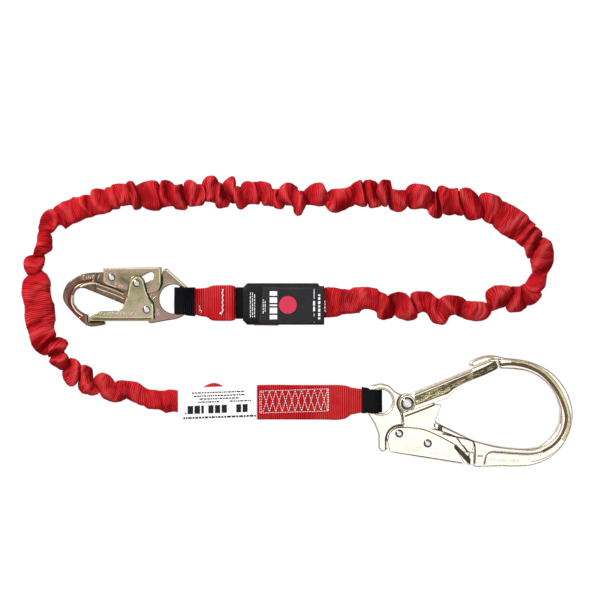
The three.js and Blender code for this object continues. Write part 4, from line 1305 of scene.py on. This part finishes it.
BOW_GROOVE = [
    (190.1, 2.3), (202.0, 3.2), (214.2, 1.6), (224.7, -1.9), (233.5, -6.8), (242.2, -14.7),
    (250.1, -25.2), (256.2, -37.4), (260.1, -52.3), (258.0, -64.6), (253.1, -74.2), (245.7, -82.1),
    (235.2, -88.4), (224.7, -90.8), (207.2, -90.5), (189.7, -89.2), (181.3, -89.1), (177.5, -91.2),
    (175.4, -96.1), (174.3, -102.0),
]
BOW_INNER = [
    (191.1, -1.6), (203.7, -1.6), (216.0, -3.0), (226.5, -7.5), (237.0, -16.4), (245.7, -27.8),
    (251.8, -40.1), (255.5, -54.1), (253.6, -65.4), (248.3, -74.2), (240.5, -80.7), (231.7, -84.9),
    (224.7, -87.0), (207.2, -85.2), (186.2, -83.2), (172.2, -79.2), (160.0, -75.0), (144.2, -68.7),
    (127.4, -60.8),
]
BOW_OUTER = [
    (190.1, 8.0), (207.2, 6.6), (222.6, 3.4), (234.6, -2.2), (245.0, -10.8), (253.8, -23.0), (260.3, -36.9),
    (264.0, -54.1), (262.2, -67.8), (256.3, -79.7), (246.9, -89.1), (234.9, -96.1), (223.0, -99.3),
]
RAISED_EDGE = [
    (130.6, -69.8), (144.2, -73.0), (156.5, -75.4), (162.8, -78.2), (164.5, -83.8), (164.2, -101.0),
]
GATE_RECESS = [
    (101.1, -30.6), (122.0, -22.2), (142.1, -14.0), (160.0, -6.4), (176.0, 0.9), (181.6, 4.0), (185.2, 6.2),
    (187.0, 5.0), (188.8, 0.6), (188.2, -1.6), (186.6, -2.6), (175.3, -8.1), (161.7, -13.4), (148.7, -19.0),
    (142.1, -23.2), (136.4, -28.0), (130.2, -30.0), (118.0, -34.6), (103.0, -40.2),
]


# Middle lines of the shallow recesses in the bow and spine of the CAD part, and half their widths.
BOW_RECESS = [
    (185.8, -87.9), (205.8, -90.5), (222.8, -91.3), (236.8, -87.7), (250.4, -75.9), (258.4, -60.7),
    (259.8, -45.3), (253.0, -24.5), (239.8, -9.7), (222.8, -0.3), (207.8, 2.7),
]
CORNER_RECESS = [(134.0, -68.8), (146.0, -74.6), (160.0, -82.5)]
SPINE_RECESS = [(179.8, -96.1), (196.0, -96.4), (214.0, -96.2), (228.0, -93.2)]


BOW_HALF, WEB_HALF = 9.0, 5.0  # half thicknesses of the rebar hook's bow and web


def rebar_relief(points):
    """Fills the shallow recesses, then sinks narrow grooves where the forging's bands meet."""
    points = points.copy()
    up = points[:, 2] - REBAR_EYE[2]
    bow = distance_to_line(points, smooth_line(BOW_RECESS, 6).tolist())
    spine = distance_to_line(points, SPINE_RECESS)
    corner = distance_to_line(points, CORNER_RECESS)
    filled = ((bow < 2.6) | (spine < 5.4) | (corner < 3.4)) & (abs(up) > 6.2)
    up = np.where(filled, np.sign(up) * BOW_HALF, up)
    web = (points[:, 0] > 90) & (points[:, 0] < 122.5) & (points[:, 1] < -55) & (points[:, 1] > -64)
    up = np.where(web, np.clip(up, -WEB_HALF, WEB_HALF), up)
    nose = (points[:, 0] > 190.5) & (points[:, 0] < 204) & (points[:, 1] < 7.2) & (points[:, 1] > -5)
    points[:, 0] -= np.where(nose, 2.6 * (204 - points[:, 0]) / 13.5, 0)
    groove = distance_to_line(points, smooth_line(BOW_GROOVE, 6).tolist())
    inner = distance_to_line(points, smooth_line(BOW_INNER, 6).tolist())
    raised = distance_to_line(points, smooth_line(RAISED_EDGE, 6).tolist())
    sink = 0.8 * np.exp(-((groove / 1.3) ** 2)) + 0.35 * np.exp(-((inner / 0.7) ** 2))
    sink = sink + 0.4 * np.exp(-((raised / 0.8) ** 2))
    points[:, 2] = REBAR_EYE[2] + up - np.sign(up) * (abs(up) > 5.2) * sink
    return points


RECESS_TOP = 16.46  # height that the dark recess of the gate lies on
GATE_SLOPE = 0.412  # rise of the gate's middle line for each millimetre of its length


def strokes_along(rng, count, xs, side, reaches, start, slopes, width):
    """Random strokes along a slanted line. slopes are those of the line and of the strokes."""
    strokes = []
    for _ in range(count):
        x, aside, reach = rng.uniform(*xs), rng.uniform(-side, side), rng.uniform(*reaches)
        y = start[1] + slopes[0] * (x - start[0]) + aside
        strokes.append(([(x, y), (x + reach, y + slopes[1] * reach)], width))
    return strokes


def rebar_marks(body, gate, lever):
    """Brown lines of painted shade in the grooves, round the pivot and the rivets and along the plates'
    outlines, tan lines of painted reflection on the rounded edges, olive and tan tints, the gate's recess
    with its scratches and stains, and rows of stamped strokes.
    """
    on_body = film_and_painted_light(body, "pale_zinc", "rebar_hook")
    on_gate = film_and_painted_light(gate, "pale_zinc", "rebar_gate")
    on_lever = film_and_painted_light(lever, "pale_zinc", "rebar_lever")
    arc = [(71.6, -76.8), (72.5, -69.8), (76.8, -63.7), (83.0, -60.7), (88.9, -60.4)]
    neck = shifted([(85.4, -30.2), (83.4, -36.0), (84.4, -43.6), (87.4, -52.3), (87.6, -60.4)], 0.4, 0)
    # dark: painted shade in the bow's groove, beside the raised edge and along the outlines of the neck and
    # the web
    dark = [(BOW_GROOVE[12:], 1.2), (BOW_GROOVE[:13], 3.0), (RAISED_EDGE, 1.7), (arc, 1.6), (neck, 1.0)]
    dark += [([(91.4, -51.7), (116.2, -42.2), (131.5, -35.4)], 1.9)]
    tint = [(x + 3.0 * (x - 190) / 70, y - 3.2 * (y + 45) / -48) for x, y in BOW_GROOVE[1:11]]
    # tan: painted reflection on the bow's rounded edges and round the eye
    tan = [(BOW_INNER, 1.3), (BOW_OUTER, 1.0), ([(167.0, -92.8), (173.0, -93.0)], 1.8)]
    tan += [(ring_line(*REBAR_EYE[:2], 14.3), 1.4)]
    # hole: painted shade standing for the dark pocket of the tongue
    hole = [([(x + 0.4, -60.8), (x - 0.4, -66.4)], 1.4) for x in (126.2, 127.4, 128.6, 129.8)]
    on_body(
        ("rebar_dark_lines", dark, BROWN_ZINC),
        ("rebar_olive_band", [(tint, 3.6)], OLIVE_ZINC),
        ("rebar_tan_lines", tan, TAN_ZINC),
        ("rebar_tongue_hole", hole, BROWN_ZINC, 0.15),
        ("rebar_spine_stamps", stamp(178.6, -98.4, 211.0, -99.2, 2.4, 12, 2), OLIVE_ZINC),
    )
    # A ring of painted shade round the gate's pivot.
    on_gate(("rebar_pivot_ring", [(ring_line(94.0, -38.3, 6.6), 1.0)], BROWN_ZINC))
    printed("rebar_recess", [GATE_RECESS], lambda x, y: RECESS_TOP, DARK_ZINC, "rebar_gate")
    rng = random.Random(21)
    scratches = strokes_along(rng, 64, (103, 180), 3.2, (2, 7), (103, -34.5), (GATE_SLOPE, GATE_SLOPE), 0.45)
    stains = strokes_along(rng, 60, (104, 137), 2.2, (1, 4), (103.4, -37.4), (0.42, 0.5), 0.4)
    pale = [([(103.4, -37.4), (118.0, -31.8), (130.2, -27.0), (138.6, -22.6)], 4.4)]
    # The gate line is painted shade along the gate's rounded end.
    on_gate(
        ("rebar_recess_scratches", scratches, OLIVE_ZINC, 0.2),
        ("rebar_recess_light", pale, OLIVE_ZINC, 0.2),
        ("rebar_recess_stains", stains, BROWN_ZINC, 0.26),
        ("rebar_gate_line", [(ring_line(93.8, -38.0, 8.2), 0.9)], BROWN_ZINC),
        ("rebar_gate_strip", [([(101.2, -28.0), (162.0, -3.3)], 1.8)], TAN_ZINC, 0.15),
        ("rebar_gate_strip_edge", [([(101.8, -29.1), (160.4, -5.3)], 0.6)], BROWN_ZINC, 0.15),
    )
    # Painted shade along the lever's edges and round its rivets.
    top = [(73.2, -78.0), (75.4, -69.4), (82.0, -64.4), (91.8, -63.4), (110.6, -65.6), (127, -72.3)]
    outline = [[(77.0, -88.8), (114.5, -94.4), (151.0, -100.2)], ring_line(85.4, -69.6, 3.9)]
    outline += [ring_line(115.2, -79.9, 4.0), [*top, (142.4, -80.6)]]
    stamps = stamp(91.7, -83.9, 110.1, -84.9, 1.8, 7, 5) + stamp(90.0, -87.4, 109.2, -88.8, 1.8, 7, 7)
    stamps += stamp(118.8, -91.0, 139.0, -93.6, 1.8, 7, 1)
    on_lever(
        ("rebar_lever_line", [(line, 0.9) for line in outline], BROWN_ZINC),
        ("rebar_lever_stamps", stamps, LIGHT_ZINC),
    )


def plate_piece(name, outline, low, high, material, body):
    """A flat plate with the given outline between two heights."""
    count = len(outline)
    vertices = [(x * MM, y * MM, z * MM) for z in (low, high) for x, y in outline]
    faces = [tuple(reversed(range(count))), tuple(range(count, 2 * count))]
    faces += [(k, (k + 1) % count, count + (k + 1) % count, count + k) for k in range(count)]
    plate = mesh_object(name, vertices, faces, smooth=False)
    edge = plate.modifiers.new("edge", "BEVEL")
    edge.width = 0.5 * MM
    edge.segments = 2
    return dress(plate, material, body)


def nose_tab():
    """The flat tab at the end of the bow that the gate closes under, with olive lines along its step at the
    gate, painted reflection on its rim and painted shade in its corner.
    """
    outline = [
        (159.3, 4.2), (161.4, 6.7), (168.0, 9.2), (175.3, 11.3), (183.4, 11.6), (185.6, 9.8),
        (177.5, 5.8), (170.0, 3.0), (162.9, 0.2), (160.4, 0.8),
    ]
    tab = plate_piece("rebar_nose_tab", outline, 0.4, 18.8, PALE_ZINC, "rebar_hook")
    # rim: painted reflection on the tab's rounded edge; the corner mark is painted shade
    rim = [(160.6, 2.6), (162.0, 5.2), (168.3, 8.0), (175.4, 10.1), (182.4, 10.5)]
    step = [([(163.6, 1.3), (170.0, 3.9), (177.0, 6.8)], 1.3), ([(177.8, 7.2), (183.8, 10.2)], 1.8)]
    film_and_painted_light(tab, "pale_zinc", "rebar_hook")(
        ("rebar_tab_rim", [(rim, 1.5)], TAN_ZINC),
        ("rebar_tab_step", step, OLIVE_ZINC),
        ("rebar_tab_corner", [([(161.9, 3.0), (162.9, 1.2)], 1.3)], BROWN_ZINC),
    )


def rebar_hook():
    plate = (PALE_ZINC, "pale_zinc")
    body = forged("rebar_forging", "rebar_hook_body", *plate, "rebar_hook", 0.8, 4, rebar_relief)
    gate = forged("rebar_gate_plate", "rebar_gate", *plate, "rebar_gate", 0.45, 6)
    lever = forged("rebar_lever_plate", "rebar_lock_lever", *plate, "rebar_lever", 0.45, 6)
    rebar_marks(body, gate, lever)
    heel = [(158.9, -88.5), (163.4, -88.5), (163.4, -102.4), (156.8, -102.4), (158.5, -98.0)]
    plate_piece("rebar_heel", heel, 1.6, 17.6, PALE_ZINC, "rebar_hook")
    # Two thin dark plates, painted shade standing for the shadowed slot at the end of the lever.
    slot_shade = [(143.1, -80.9), (145.1, -81.5), (160.5, -96.1), (160.2, -102.2), (158.6, -102.1), (143.0, -85.0)]
    for side, low in (("front", 16.65), ("back", 1.55)):
        plate_piece(f"rebar_slot_shade_{side}", slot_shade, low, low + 1.0, DARK_ZINC, "rebar_hook")
    nose_tab()
    for name, node, slot, rides in (
        ("rebar_gate_rivet", "rebar_gate_pivot_rivet", "bright_rivet", "rebar_hook"),
        ("rebar_lever_rivet", "rebar_lock_pivot_rivet", "pale_rivet", "rebar_hook"),
        ("rebar_pin_rivet", "rebar_lock_pin", "pale_rivet", "rebar_lever"),
    ):
        domed_rivet(name, node, CHROME, rides)


def springs():
    for node in ("snap_gate_spring", "snap_lock_spring", "rebar_gate_spring", "rebar_lock_spring"):
        spring = NODES[node]
        spring.data.materials.clear()
        spring.data.materials.append(SPRING_STEEL)
        spring.data.polygons.foreach_set("use_smooth", [True] * len(spring.data.polygons))


# ---- Camera, floor and light ----

CAMERA_HEIGHT = 2.2
MIDDLE_HEIGHT = 0.01  # of the object
VIEW_CENTRE = (-0.0185, 0.0702)
FRAME_WIDTH = 0.63  # width of the view at the middle height of the object
SENSOR = 36.0


def camera():
    data = bpy.data.cameras.new("camera")
    data.sensor_width = SENSOR
    data.lens = SENSOR * (CAMERA_HEIGHT - MIDDLE_HEIGHT) / FRAME_WIDTH
    data.clip_end = 20
    cam = bpy.data.objects.new("camera", data)
    cam.location = (*VIEW_CENTRE, CAMERA_HEIGHT)
    bpy.context.scene.collection.objects.link(cam)
    bpy.context.scene.camera = cam


def floor():
    half = 3.0
    corners = [(-half, -half, 0), (half, -half, 0), (half, half, 0), (-half, half, 0)]
    sheet = mesh_object("floor", corners, [(0, 1, 2, 3)], smooth=False)
    shader = Shader("floor_white")
    grain = shader.noise(shader.place(), 6.0)
    colour = shader.mix(grain, (0.02, 0.02, 0.02), (0.04, 0.04, 0.04))
    sheet.data.materials.append(
        shader.finish(
            Base_Color=colour,
            Roughness=0.9,
            Specular_IOR_Level=0.0,
            Emission_Color=(1, 1, 1, 1),
            Emission_Strength=1.0,
        )
    )


def area_light(name, place, target, size, power):
    data = bpy.data.lights.new(name, "AREA")
    data.size = size
    data.energy = power
    lamp = bpy.data.objects.new(name, data)
    lamp.location = place
    direction = Vector(target) - Vector(place)
    lamp.rotation_euler = direction.to_track_quat("-Z", "Y").to_euler()
    bpy.context.scene.collection.objects.link(lamp)


def studio_world():
    """Soft light that is bright overhead and dark at the horizon, as under a large softbox."""
    world = bpy.data.worlds.new("studio")
    world.use_nodes = True
    tree = world.node_tree
    coords = tree.nodes.new("ShaderNodeTexCoord")
    parts = tree.nodes.new("ShaderNodeSeparateXYZ")
    ramp = tree.nodes.new("ShaderNodeValToRGB")
    ramp.color_ramp.elements[0].position = 0.5
    ramp.color_ramp.elements[0].color = (0.03, 0.03, 0.035, 1)
    ramp.color_ramp.elements[1].position = 0.96
    ramp.color_ramp.elements[1].color = (1, 1, 1, 1)
    background = tree.nodes["Background"]
    background.inputs[1].default_value = 1.36
    tree.links.new(coords.outputs["Generated"], parts.inputs[0])
    tree.links.new(parts.outputs[2], ramp.inputs[0])
    tree.links.new(ramp.outputs[0], background.inputs[0])
    bpy.context.scene.world = world


def lights():
    studio_world()
    area_light("key", (-1.2, 1.3, 1.0), (0, 0.05, 0), 0.5, 47)
    area_light("fill", (1.2, -0.9, 1.6), (0, 0.05, 0), 1.2, 3)


def lanyard():
    gathered_jacket()
    snap_end()
    rebar_end()
    strap_stitching()
    overlap_bar_tack()
    pulled_thread()
    label_cover()
    front_panel()
    cover_print()
    cover_stitching()
    capacity_label()
    label_print()
    strap_bump()
    snap_hook()
    rebar_hook()
    springs()
    frayed_end()


lanyard()
camera()
floor()
lights()
bpy.context.scene.view_settings.view_transform = "Standard"
